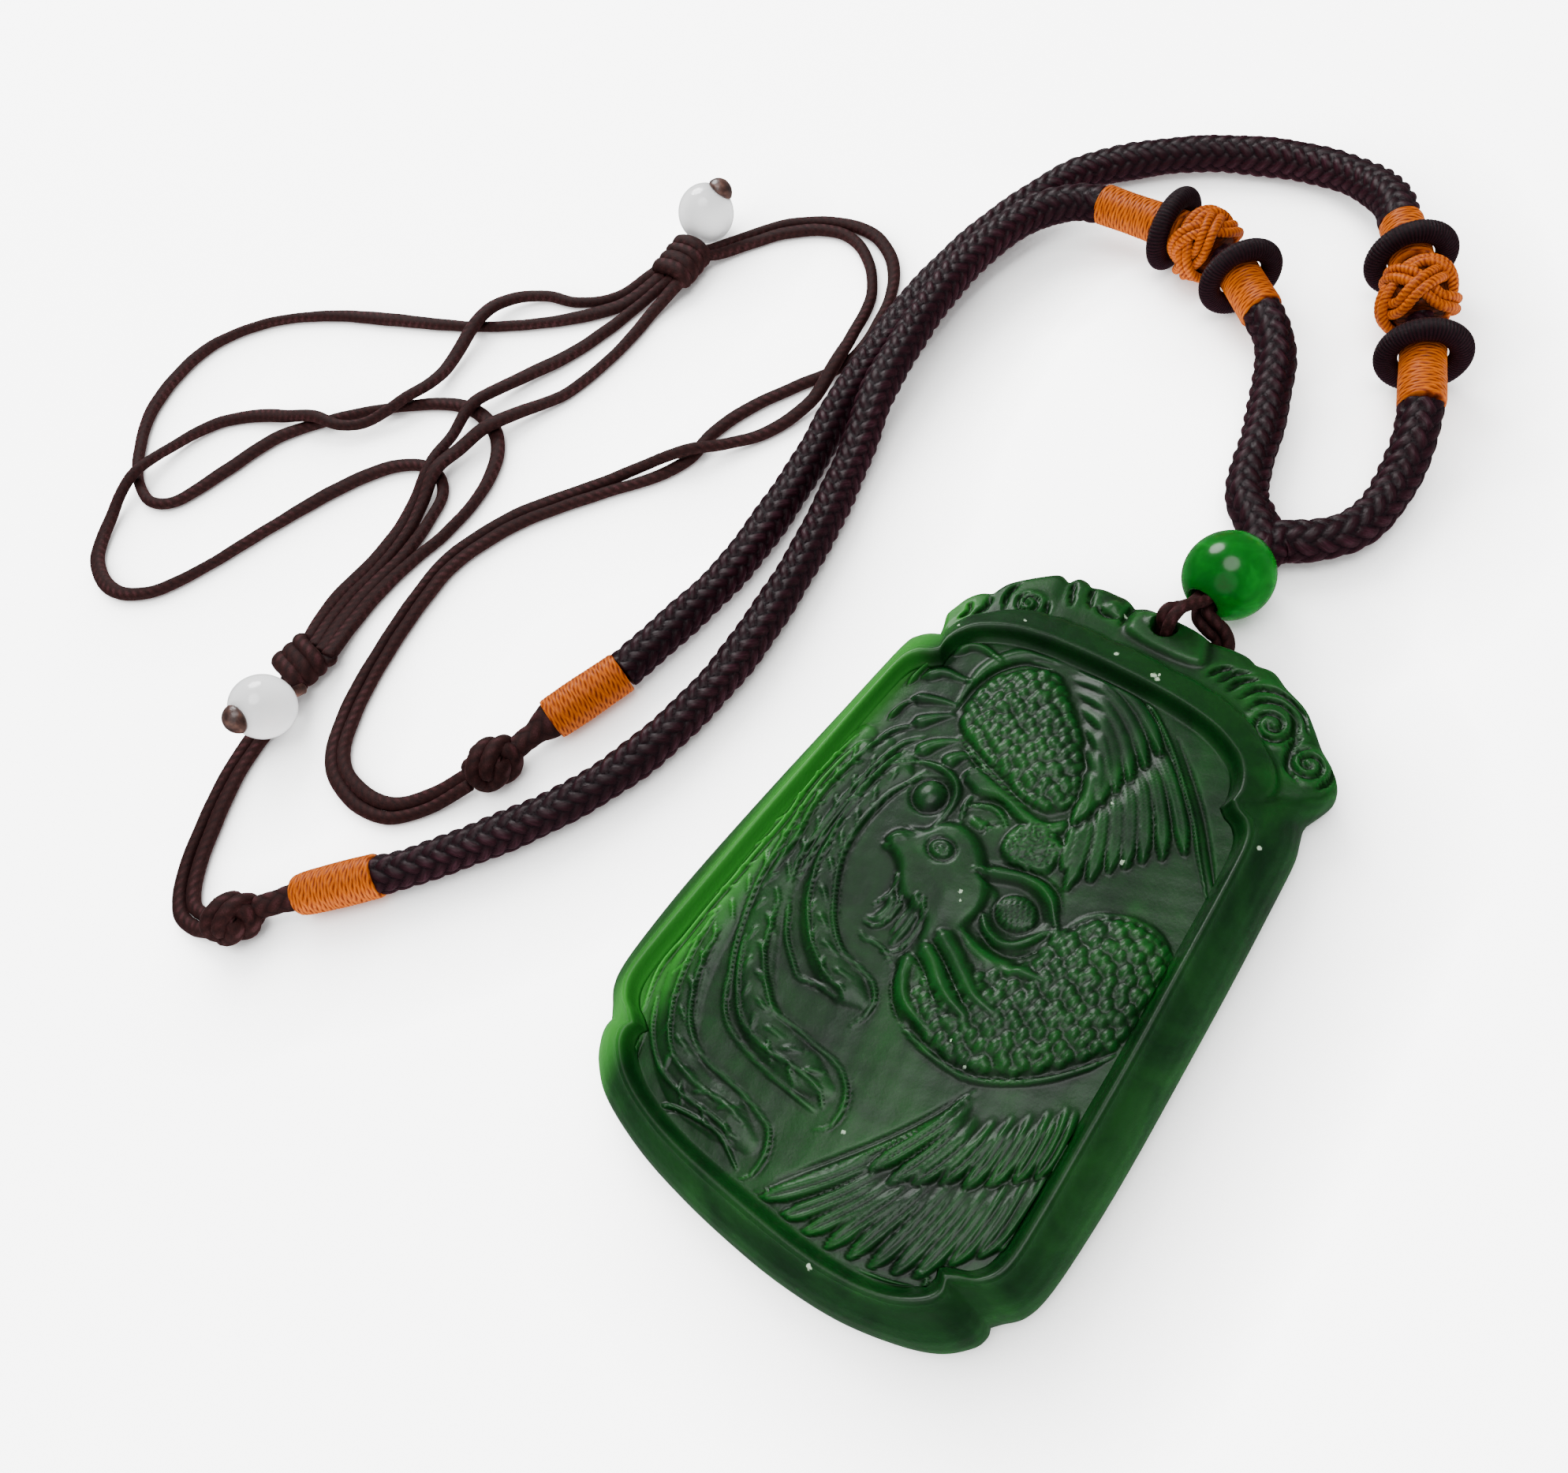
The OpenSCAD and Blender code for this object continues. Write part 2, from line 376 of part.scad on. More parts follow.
LOOP_2 = [[-93.9, 58, 2.2], [-96.9, 52, 0.9], [-101.5, 47.2, 0.75], [-108, 42.5, 0.75], [-116, 38.2, 0.75],
  [-124, 35.2, 0.75], [-134, 32, 0.75], [-145, 28, 0.75], [-155, 22, 0.75], [-161.3, 14, 0.75],
  [-162.2, 6, 0.75], [-159.5, -2.5, 0.75], [-153, -9.6, 0.75], [-147.8, -12.9, 0.75], [-142.5, -14, 0.75],
  [-138.3, -11.5, 0.75], [-135.5, -4, 0.75], [-132.5, 5, 0.75], [-127.5, 11, 0.75], [-122, 16, 0.75],
  [-115.5, 20.6, 0.75], [-109.5, 23.8, 0.75], [-104, 24.7, 0.75], [-98, 23, 0.75], [-94, 19, 0.75],
  [-91.8, 13, 0.75], [-91.6, 6, 0.75], [-92.6, 0, 0.75], [-93.1, -6, 0.75], [-92.5, -12, 0.9],
  [-90.8, -17.4, 1.7]];
DIRECT_1 = [[-92.2, 58, 2.2], [-94.6, 52.4, 0.9], [-96.2, 46, 0.75], [-98.4, 39.6, 0.75], [-102, 32, 1.3],
  [-104, 25, 2.4], [-103.3, 19.4, 1.7], [-101.7, 13.6, 2.4], [-100.1, 8, 1.2], [-98.7, 3, 0.75],
  [-98, -3, 0.75], [-98.3, -9, 0.75], [-97.6, -13.4, 0.9], [-95.6, -17.4, 1.7]];
DIRECT_2 = [[-90.5, 58, 2.2], [-91.6, 52, 0.9], [-91.4, 46, 0.75], [-91.8, 40, 0.75], [-93.4, 33.4, 0.75],
  [-96.6, 27.6, 1.5], [-98.6, 22.6, 2.4], [-100, 17.6, 1.9], [-100, 13, 2.4], [-98.4, 7.8, 1.2],
  [-97, 3, 0.75], [-96.3, -3, 0.75], [-96.5, -9, 0.75], [-95.8, -13.4, 0.9], [-93.9, -17.4, 1.7]];

// Places of the bound groups, each with its headings in degrees. The lower ring is placed by a share of the
// lower wrap's length, and the button knot by a share of the core's.
ring_od = wrap_d + 2 * ring_gap + 2 * ring_t;
group_z = ring_od / 2;
left_low = [-12, 82, group_z];
left_low_az = 140;
left_core_l = 9.1;
left_core_az = 161;
left_high_az = 176;
left_ring_at = 0.75;
left_button_at = 0.56;
right_low = [10, 76, group_z];
right_low_az = 114;
right_core_l = 13;
right_core_az = 120;
right_high_az = 125;
right_ring_at = 0.85;
right_button_at = 0.58;
left_mid = left_low + lower_wrap_l * heading(left_low_az);
left_high = left_mid + left_core_l * heading(left_core_az);
right_mid = right_low + lower_wrap_l * heading(right_low_az);
right_high = right_mid + right_core_l * heading(right_core_az);

// Places of the end wraps, the necks of cord behind them and the end knots
end_z = end_wrap_d / 2;
neck_l = 5.2;
neck_d = 2 * strand_d;
left_end = [-59.1, -34.3, end_z];
left_end_az = -132.7;
left_tail_az = -130;
left_knot_az = -125;
right_end = [-51.5, 2.2, end_z];
right_end_az = -109;
right_tail_az = -104;
right_knot_az = -110;
left_tail = left_end + end_wrap_l * heading(left_end_az);
left_knot = left_tail + neck_l * heading(left_tail_az);
right_tail = right_end + end_wrap_l * heading(right_end_az);
right_knot = right_tail + neck_l * heading(right_tail_az);

// Places of the beads and the sliding knots
bead_at = [3.2, 46.45, bead_d / 2];
bead_az = 81.5;
slide_1 = [-93, 61.2, turn_d / 2];
slide_1_az = 4;
slide_1_turns = 3;
slide_2 = [-93.2, -19.8, turn_d / 2];
slide_2_az = -6;
slide_2_turns = 2;
white_1 = [-94.2, 69.6, white_d / 2];
white_1_az = 60;
white_1_up = 38;
white_2 = [-88.8, -27.6, strand_d + white_d / 2];
white_2_az = -80;
white_2_up = 35;
tail_1_l = 1.3;
tail_2_l = 2.2;
melt_sink = 0.6;

// A cord wrapped tightly in thread, its ends bevelled by a share of its width
WRAP_EDGE = 0.1;
module wrap(d, l) {
  edge = d * WRAP_EDGE;
  color(amber) rotate_extrude() polygon([[0, 0], [d / 2 - edge, 0], [d / 2, edge], [d / 2, l - edge],
    [d / 2 - edge, l], [0, l]]);
}

// A ring bound with thread, around a wrap
module ring() {
  color(braid_brown) rotate_extrude() translate([wrap_d / 2 + ring_gap + ring_t / 2, 0]) circle(d = ring_t);
}

// A barrel of length l with round sides: an arc of BARREL_ARC each way, flattened to the share BARREL_ROUND
BARREL_ARC = 60;
BARREL_STEP = 10;
BARREL_ROUND = 0.8;
module barrel(d, l, hole) {
  difference() {
    rotate_extrude() polygon(concat([[0, -l / 2]], [for (a = [-BARREL_ARC:BARREL_STEP:BARREL_ARC])
      [d / 2 * (1 - (1 - cos(a)) * BARREL_ROUND), l / 2 * sin(a) / sin(BARREL_ARC)]], [[0, l / 2]]));
    if (hole > 0) translate([0, 0, -l]) cylinder(d = hole, h = 2 * l);
  }
}

module button(l) {
  color(amber) barrel(button_d, l, core_d + 2 * button_gap);
}

// Round turns laid side by side across the strands
module sliding_knot(turns) {
  color(strand_brown) for (i = [0:turns - 1]) translate([0, (i - (turns - 1) / 2) * turn_pitch, 0]) {
    reach = (slide_w - turn_d) / 2;
    for (s = [-1, 1]) translate([s * reach, 0, 0]) sphere(d = turn_d);
    translate([-reach, 0, 0]) rotate([0, 90, 0]) cylinder(d = turn_d, h = 2 * reach);
  }
}

module bored_bead(d, bore, paint) {
  color(paint) difference() {
    sphere(d = d);
    cylinder(d = bore, h = d + 2 * CUT_OVER, center = true);
  }
}

// The cord through a white bead, with its melted end outside and a short tail behind
module tip(tail_l) {
  color(strand_brown) union() {
    translate([0, 0, -white_d / 2 - tail_l]) cylinder(d = strand_d, h = white_d + tail_l + melt_sink);
    difference() {
      translate([0, 0, white_d / 2 - melt_sink]) sphere(d = melt_d);
      sphere(d = white_d + 2 * melt_gap);
    }
  }
}

module braid(route) {
  color(braid_brown) cord(route, braid_d, BRAID_SIDES);
}

module strand(route) {
  color(strand_brown) cord(route, strand_d, STRAND_SIDES);
}

module green_bead() along(bead_at, bead_az) bored_bead(bead_d, bead_bore, bead_green);
module bail_loop() color(strand_brown) cord(BAIL, bail_d, STRAND_SIDES);

module left_front_arm() braid(LEFT_ARM);
module left_lower_wrap() along(left_low, left_low_az) wrap(wrap_d, lower_wrap_l);
module left_lower_ring() along(left_low + left_ring_at * lower_wrap_l * heading(left_low_az), left_low_az) ring();
module left_core() along(left_mid, left_core_az) color(braid_brown) cylinder(d = core_d, h = left_core_l);
module left_button_knot() along(left_mid + left_button_at * left_core_l * heading(left_core_az), left_core_az)
  button(left_button_l);
module left_upper_ring() along(left_high + ring_t / 2 * heading(left_high_az), left_high_az) ring();
module left_upper_wrap() along(left_high, left_high_az) wrap(wrap_d, left_wrap_l);
module left_neck_cord() braid(LEFT_NECK);
module left_end_wrap() along(left_end, left_end_az) wrap(end_wrap_d, end_wrap_l);
module left_end_neck() along(left_tail, left_tail_az) color(strand_brown) cylinder(d = neck_d, h = neck_l);
module left_end_knot() along(left_knot + end_knot_l / 2 * heading(left_knot_az), left_knot_az)
  color(strand_brown) barrel(end_knot_d, end_knot_l, 0);

module right_front_arm() braid(RIGHT_ARM);
module right_lower_wrap() along(right_low, right_low_az) wrap(wrap_d, lower_wrap_l);
module right_lower_ring() along(right_low + right_ring_at * lower_wrap_l * heading(right_low_az), right_low_az) ring();
module right_core() along(right_mid, right_core_az) color(braid_brown) cylinder(d = core_d, h = right_core_l);
module right_button_knot() along(right_mid + right_button_at * right_core_l * heading(right_core_az), right_core_az)
  button(right_button_l);
module right_upper_ring() along(right_high + ring_t / 2 * heading(right_high_az), right_high_az) ring();
module right_upper_wrap() along(right_high, right_high_az) wrap(wrap_d, right_wrap_l);
module right_neck_cord() braid(RIGHT_NECK);
module right_end_wrap() along(right_end, right_end_az) wrap(end_wrap_d, end_wrap_l);
module right_end_neck() along(right_tail, right_tail_az) color(strand_brown) cylinder(d = neck_d, h = neck_l);
module right_end_knot() along(right_knot + end_knot_l / 2 * heading(right_knot_az), right_knot_az)
  color(strand_brown) barrel(end_knot_d, end_knot_l, 0);

module run_a_1() strand(RUN_A_1);
module run_a_2() strand(RUN_A_2);
module run_b_1() strand(RUN_B_1);
module run_b_2() strand(RUN_B_2);
module loop_1() strand(LOOP_1);
module loop_2() strand(LOOP_2);
module direct_1() strand(DIRECT_1);
module direct_2() strand(DIRECT_2);
module slide_knot_1() translate(slide_1) rotate([0, 0, slide_1_az]) sliding_knot(slide_1_turns);
module slide_knot_2() translate(slide_2) rotate([0, 0, slide_2_az]) sliding_knot(slide_2_turns);
module white_bead_1() along(white_1, white_1_az, white_1_up) bored_bead(white_d, white_bore, milk);
module white_bead_2() along(white_2, white_2_az, white_2_up) bored_bead(white_d, white_bore, milk);
module tip_1() along(white_1, white_1_az, white_1_up) tip(tail_1_l);
module tip_2() along(white_2, white_2_az, white_2_up) tip(tail_2_l);

plaque();
green_bead();
bail_loop();
left_front_arm();
left_lower_wrap();
left_lower_ring();
left_core();
left_button_knot();
left_upper_ring();
left_upper_wrap();
left_neck_cord();
left_end_wrap();
left_end_neck();
left_end_knot();
right_front_arm();
right_lower_wrap();
right_lower_ring();
right_core();
right_button_knot();
right_upper_ring();
right_upper_wrap();
right_neck_cord();
right_end_wrap();
right_end_neck();
right_end_knot();
run_a_1();
run_a_2();
run_b_1();
run_b_2();
loop_1();
loop_2();
direct_1();
direct_2();
slide_knot_1();
slide_knot_2();
white_bead_1();
white_bead_2();
tip_1();
tip_2();
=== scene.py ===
import bpy
import numpy as np
from mathutils import Matrix, Vector


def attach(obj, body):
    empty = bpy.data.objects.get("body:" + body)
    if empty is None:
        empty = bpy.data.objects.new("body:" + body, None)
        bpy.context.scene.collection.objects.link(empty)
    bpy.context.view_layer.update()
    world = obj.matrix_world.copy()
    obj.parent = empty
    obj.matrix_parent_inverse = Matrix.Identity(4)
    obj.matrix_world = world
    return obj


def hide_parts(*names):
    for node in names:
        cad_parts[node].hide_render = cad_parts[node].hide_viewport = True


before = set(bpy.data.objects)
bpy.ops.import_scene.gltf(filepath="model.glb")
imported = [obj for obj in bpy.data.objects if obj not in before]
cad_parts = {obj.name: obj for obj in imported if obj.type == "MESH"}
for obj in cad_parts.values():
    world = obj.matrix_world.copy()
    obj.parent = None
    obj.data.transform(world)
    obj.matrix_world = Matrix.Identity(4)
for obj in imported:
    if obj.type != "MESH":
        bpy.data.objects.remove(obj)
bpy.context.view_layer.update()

# The camera looks down on the plaque from beyond its lower right corner. Its place comes from the four
# notches of the rim in the photograph, and its lens from how round the beads stay near the edges.
PHOTO_W_PX, FOCAL_PX = 1988, 1495
CAMERA_AT = Vector((0.033113, -0.02716, 0.117296))
camera_data = bpy.data.cameras.new("camera")
camera_data.sensor_fit = "HORIZONTAL"
camera_data.sensor_width = 36
camera_data.lens = camera_data.sensor_width * FOCAL_PX / PHOTO_W_PX
camera_data.clip_start = 0.005
camera_data.clip_end = 10
camera = bpy.data.objects.new("camera", camera_data)
camera_right = Vector((0.76119, 0.60421, -0.23561))
camera_down = Vector((0.45842, -0.75827, -0.46355))
camera_ahead = Vector((-0.45873, 0.24484, -0.85417))
camera_axes = Matrix((camera_right, -camera_down, -camera_ahead)).transposed().to_4x4()
camera.matrix_world = Matrix.Translation(CAMERA_AT) @ camera_axes
bpy.context.scene.collection.objects.link(camera)
bpy.context.scene.camera = camera


# The braid is a round cord of sixteen polyester yarns, each passing over two and under two of those that run
# the other way. Two lengths go round the neck, and two short ones meet in a fold above the green bead.
# Each yarn is a flat bundle of fine bright filaments, so the dark cord glints in tiny flecks.
BRAID_D, YARNS_A_WAY, BRAID_LEAD, YARN_RISE = 5.0, 8, 15.2, 0.46
BRAID_STEP, BRAID_LOWEST = 0.25, 0.02
BRAID_COLOURS = ("#090206", "#1f0910", "#40202c")

LEFT_ARM = [
    (3.9, 51.9, 2.6), (2.6, 54.8, 2.5), (-0.9, 58.3, 2.5), (-2.6, 62.6, 2.5), (-3.9, 67.6, 2.6),
    (-5.7, 72.7, 3.1), (-7.4, 76.9, 4.1), (-9.6, 79.9, 4.9), (-12, 82, 5.2)]
RIGHT_ARM = [
    (3.9, 51.9, 2.6), (5, 54.5, 2.5), (7.8, 56.2, 2.5), (10.5, 58.9, 2.5), (11.8, 62.6, 2.5),
    (11.9, 67.6, 2.8), (11.3, 71.9, 4.1), (10, 76, 5.2)]
LEFT_NECK = [
    (-39.5, 91.5, 5.2), (-43.3, 90.4, 5.2), (-47, 86.8, 5.3), (-49.3, 80.5, 5.5), (-50.3, 74, 5.5),
    (-50.3, 67.5, 5.4), (-49.4, 59, 5), (-48.2, 51.3, 4.4), (-46.6, 45.5, 3.2), (-45.2, 40, 2.5),
    (-42.4, 29, 2.5), (-40.6, 18, 2.5), (-40.1, 8, 2.5), (-41.4, -3, 2.5), (-44.2, -12, 2.5),
    (-48.5, -20, 2.5), (-55.5, -30, 2.6), (-59.1, -34.3, 2.7)]
RIGHT_NECK = [
    (-4.5, 101.5, 5.2), (-7.5, 105.6, 4.6), (-13.5, 109.6, 3.2), (-22, 110.8, 2.5), (-32, 108.7, 2.5),
    (-40, 104.7, 2.5), (-47.5, 98.5, 2.5), (-51.3, 90, 2.5), (-53.8, 80, 2.5), (-54.5, 70, 2.5),
    (-54.2, 60, 2.5), (-53, 50, 2.5), (-50.9, 40, 2.5), (-49.5, 30, 2.5), (-49.1, 20, 2.5),
    (-50.3, 10, 2.6), (-51.5, 2.2, 2.7)]


def smooth_route(route, step):
    """Points every step mm along a smooth curve through the route. Between b and c, with a before and d
    after them, it is half of 2b + (c - a)t + (2a - 5b + 4c - d)t2 + (3b - a - 3c + d)t3."""
    p = np.array(route, float)
    q = np.vstack([2 * p[0] - p[1], p, 2 * p[-1] - p[-2]])
    a, b, c, d = (q[i:i + len(p) - 1, None] for i in range(4))
    t = np.linspace(0, 1, 24, endpoint=False)[None, :, None]
    curve = 0.5 * (2 * b + (c - a) * t + (2 * a - 5 * b + 4 * c - d) * t**2 + (3 * b - a - 3 * c + d) * t**3)
    curve = np.vstack([curve.reshape(-1, p.shape[1]), p[-1]])
    s = np.r_[0, np.cumsum(np.linalg.norm(np.diff(curve, axis=0), axis=1))]
    at = np.linspace(0, s[-1], max(2, int(round(s[-1] / step))) + 1)
    return np.stack([np.interp(at, s, curve[:, k]) for k in range(p.shape[1])], 1)


def arc_length(line):
    """Length along a line at each of its points."""
    return np.r_[0, np.cumsum(np.linalg.norm(np.diff(line, axis=0), axis=1))]


def cross_axes(line, up):
    """Two unit vectors square to the line at each point: its heading crossed with up, and the third axis."""
    heading = np.gradient(line, axis=0)
    heading /= np.linalg.norm(heading, axis=1, keepdims=True)
    side = np.cross(heading, np.broadcast_to(up, line.shape))
    side /= np.linalg.norm(side, axis=1, keepdims=True)
    return side, np.cross(side, heading)


def add_mesh(name, points, quads, triangles=(), values=None):
    """A mesh object from points in mm, four-sided and three-sided faces, and per-point values by name."""
    quads = np.asarray(quads, np.int32).reshape(-1, 4)
    triangles = np.asarray(triangles, np.int32).reshape(-1, 3)
    mesh = bpy.data.meshes.new(name)
    mesh.vertices.add(len(points))
    mesh.vertices.foreach_set("co", (np.asarray(points) / 1000).astype(np.float32).ravel())
    mesh.loops.add(quads.size + triangles.size)
    mesh.loops.foreach_set("vertex_index", np.r_[quads.ravel(), triangles.ravel()])
    corners = np.r_[np.full(len(quads), 4), np.full(len(triangles), 3)]
    mesh.polygons.add(len(corners))
    mesh.polygons.foreach_set("loop_start", (np.cumsum(corners) - corners).astype(np.int32))
    mesh.polygons.foreach_set("use_smooth", np.ones(len(corners), bool))
    mesh.update(calc_edges=True)
    for key, value in (values or {}).items():
        value = np.asarray(value, np.float32)
        kind, field = ("FLOAT", "value") if value.ndim == 1 else ("FLOAT_VECTOR", "vector")
        mesh.attributes.new(key, kind, "POINT").data.foreach_set(field, value.ravel())
    piece = bpy.data.objects.new(name, mesh)
    bpy.context.scene.collection.objects.link(piece)
    return piece


def tube_parts(line, radius, up=(0, 0, 1)):
    """Points and faces of a closed tube. At length s and angle a it lies at
    line(s) + radius(s, a) (cos a side + sin a rise), and a pole closes each end."""
    n, m = radius.shape
    side, rise = cross_axes(line, up)
    a = (np.arange(m) * 2 * np.pi / m)[None, :, None]
    points = line[:, None] + radius[..., None] * (np.cos(a) * side[:, None] + np.sin(a) * rise[:, None])
    points = np.vstack([points.reshape(-1, 3), line[0], line[-1]])
    i, j = np.meshgrid(np.arange(n - 1), np.arange(m), indexing="ij")
    k = (j + 1) % m
    quads = np.stack([i * m + j, i * m + k, (i + 1) * m + k, (i + 1) * m + j], -1).reshape(-1, 4)[:, ::-1]
    j = np.arange(m)
    k = (j + 1) % m
    first = np.stack([np.full(m, n * m), j, k], 1)
    last = np.stack([np.full(m, n * m + 1), (n - 1) * m + k, (n - 1) * m + j], 1)
    return points, quads, np.vstack([first, last])


def joined(parts):
    """One list of points and faces from several, and of each further value that goes with the points."""
    points, quads, triangles, *values = zip(*parts)
    starts = np.cumsum([0] + [len(p) for p in points])
    quads = [np.asarray(q, int).reshape(-1, 4) + start for q, start in zip(quads, starts)]
    triangles = [np.asarray(t, int).reshape(-1, 3) + start for t, start in zip(triangles, starts)]
    return np.vstack(points), np.vstack(quads), np.vstack(triangles), *map(np.concatenate, values)


def straightened(line, radius):
    """Where each point of a tube would be with the cord pulled straight along X."""
    n, m = radius.shape
    a = (np.arange(m) * 2 * np.pi / m)[None]
    s = arc_length(line)[:, None] + 0 * a
    at = np.stack([s, radius * np.cos(a), radius * np.sin(a)], -1).reshape(-1, 3)
    return np.vstack([at, [s[0, 0], 0, 0], [s[-1, 0], 0, 0]])


def braid_relief(s, turn, yarns, lead):
    """Height from 0 to 1 of a braid at length s and share of a turn, and its yarns' own coordinates.
    With a and b the two families' counts, a yarn of the first shows where whole(a) + whole(b) is 0 or 1
    over 4. Its height is the root of a half wave across it, times a flat arch along its two steps, and up to
    30% less where a yarn was drawn tighter. The yarns of the second family are numbered from 100."""
    a = yarns * (turn + s / lead)
    b = yarns * (turn - s / lead)
    i, j = np.floor(a), np.floor(b)
    first = (i + j) % 4 < 2
    across = np.where(first, a - i, b - j)
    steps = np.where(first, i + b, a + j - 2)
    float_share = np.clip(steps % 4 / 2, 0, 1)
    tight = 0.85 + 0.15 * np.sin(12.9 * np.where(first, i, j) + 4.1 * np.floor(steps / 4))
    height = tight * np.sin(np.pi * across) ** 0.5 * (0.3 + 0.7 * np.sin(np.pi * float_share) ** 0.6)
    return height, across, np.where(first, b, a), np.where(first, i, j + 100)


def braided_cord(name, line, d=BRAID_D, rise=YARN_RISE, yarns=YARNS_A_WAY, lead=BRAID_LEAD,
                 sides=96, wander=1):
    """Braided cord along a line: the braid's relief on a tube, a little uneven along its length."""
    s = arc_length(line)[:, None]
    turn = (np.arange(sides) / sides)[None]
    height, across, along, yarn = braid_relief(s, turn, yarns, lead)
    uneven = 0.05 * np.sin(s / 3.1) + 0.04 * np.sin(s / 1.37 + 4 * np.pi * turn)
    radius = d / 2 - rise * (1 - height) + wander * uneven
    points, quads, triangles = tube_parts(line, radius)
    points[:, 2] = np.maximum(points[:, 2], BRAID_LOWEST)
    lay = np.stack([across, along, yarn + 0 * s], -1).reshape(-1, 3)
    values = {"crown": np.r_[height.ravel(), 0, 0], "lay": np.vstack([lay, lay[:1], lay[-1:]])}
    return add_mesh(name, points, quads, triangles, values)


def linear_rgb(text):
    """Linear colour of an sRGB hex value."""
    c = np.array([int(text[i:i + 2], 16) / 255 for i in (1, 3, 5)])
    return (*np.where(c <= 0.04045, c / 12.92, ((c + 0.055) / 1.055) ** 2.4), 1.0)


def add_node(tree, kind, inputs=None, **settings):
    """A shader node with its settings, and its inputs as values or as other nodes' outputs."""
    node = tree.nodes.new("ShaderNode" + kind)
    for key, value in settings.items():
        setattr(node, key, value)
    for key, value in (inputs or {}).items():
        if isinstance(value, bpy.types.NodeSocket):
            tree.links.new(value, node.inputs[key])
        else:
            node.inputs[key].default_value = value
    return node


def new_material(name, **fixed):
    """A material with an emptied tree but for its shader, whose fixed inputs are given in words."""
    made = bpy.data.materials.new(name)
    made.use_nodes = True
    tree = made.node_tree
    shader = tree.nodes["Principled BSDF"]
    for key, value in fixed.items():
        shader.inputs[key.replace("_", " ")].default_value = value
    return made, tree, shader


def colour_steps(tree, share, places, colours):
    """A colour ramp over share with its hex colours at the places."""
    ramp = add_node(tree, "ValToRGB", {"Fac": share})
    while len(ramp.color_ramp.elements) < len(places):
        ramp.color_ramp.elements.new(0.5)
    for element, place, colour in zip(ramp.color_ramp.elements, places, colours):
        element.position = place
        element.color = linear_rgb(colour)
    return ramp.outputs["Color"]


def link_surface(tree, shader, colour, height, strength, distance):
    """Links a colour to the shader, and a height as its fine relief."""
    tree.links.new(colour, shader.inputs["Base Color"])
    bump = add_node(tree, "Bump", {"Height": height, "Strength": strength, "Distance": distance})
    tree.links.new(bump.outputs["Normal"], shader.inputs["Normal"])


def dress(piece, material, node):
    """Gives a piece its material and finish, and puts it in its CAD node's place."""
    piece.data.materials.append(material)
    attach(piece, "root")
    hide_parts(node)


# Dyed polyester filament yarn: brown-purple crowns and fine lines along each yarn, and painted shade that
# darkens the gaps between the yarns. The real filaments are 0.02 mm, so they are drawn at 0.12 mm to show at
# all.
braid_material, tree, shader = new_material("polyester_yarn_dark", Roughness=0.38, Specular_IOR_Level=0.13)
crown = add_node(tree, "Attribute", attribute_name="crown").outputs["Fac"]
lay = add_node(tree, "Attribute", attribute_name="lay").outputs["Vector"]
stretched = add_node(tree, "Mapping", {"Vector": lay, "Scale": (8.0, 0.9, 1.0)}).outputs["Vector"]
filaments = add_node(tree, "TexNoise", {"Vector": stretched, "Scale": 1.0, "Detail": 3.0,
                                        "Roughness": 0.7}).outputs["Fac"]
tone = add_node(tree, "Math", {0: filaments, 1: 0.9}, operation="MULTIPLY").outputs[0]
# Painted shade: the lower a point lies on its yarn, the darker its colour
tone = add_node(tree, "Math", {0: crown, 1: tone}, operation="MULTIPLY").outputs[0]
colour = colour_steps(tree, tone, (0.05, 0.34, 0.72), BRAID_COLOURS)
link_surface(tree, shader, colour, filaments, 0.55, 0.00012)

for name, route in (("left_neck_cord", LEFT_NECK), ("right_neck_cord", RIGHT_NECK),
                    ("left_front_arm", LEFT_ARM), ("right_front_arm", RIGHT_ARM)):
    line = smooth_route(route, BRAID_STEP)
    piece = braided_cord(name + "_braid", line)
    dress(piece, braid_material, name)


# The thin strands are waxed polyester string, each a fine round plait pressed a little flat. They run from
# the knots at the ends of the braid through two sliding knots, so that the necklace can be let out.
STRAND_D, STRAND_STEP, LOWEST = 1.5, 0.4, 0.01
RUN_PRESSED, LOOP_PRESSED = 0.1, 0.17
STRAND_COLOURS = ("#100405", "#28100f", "#48252a")

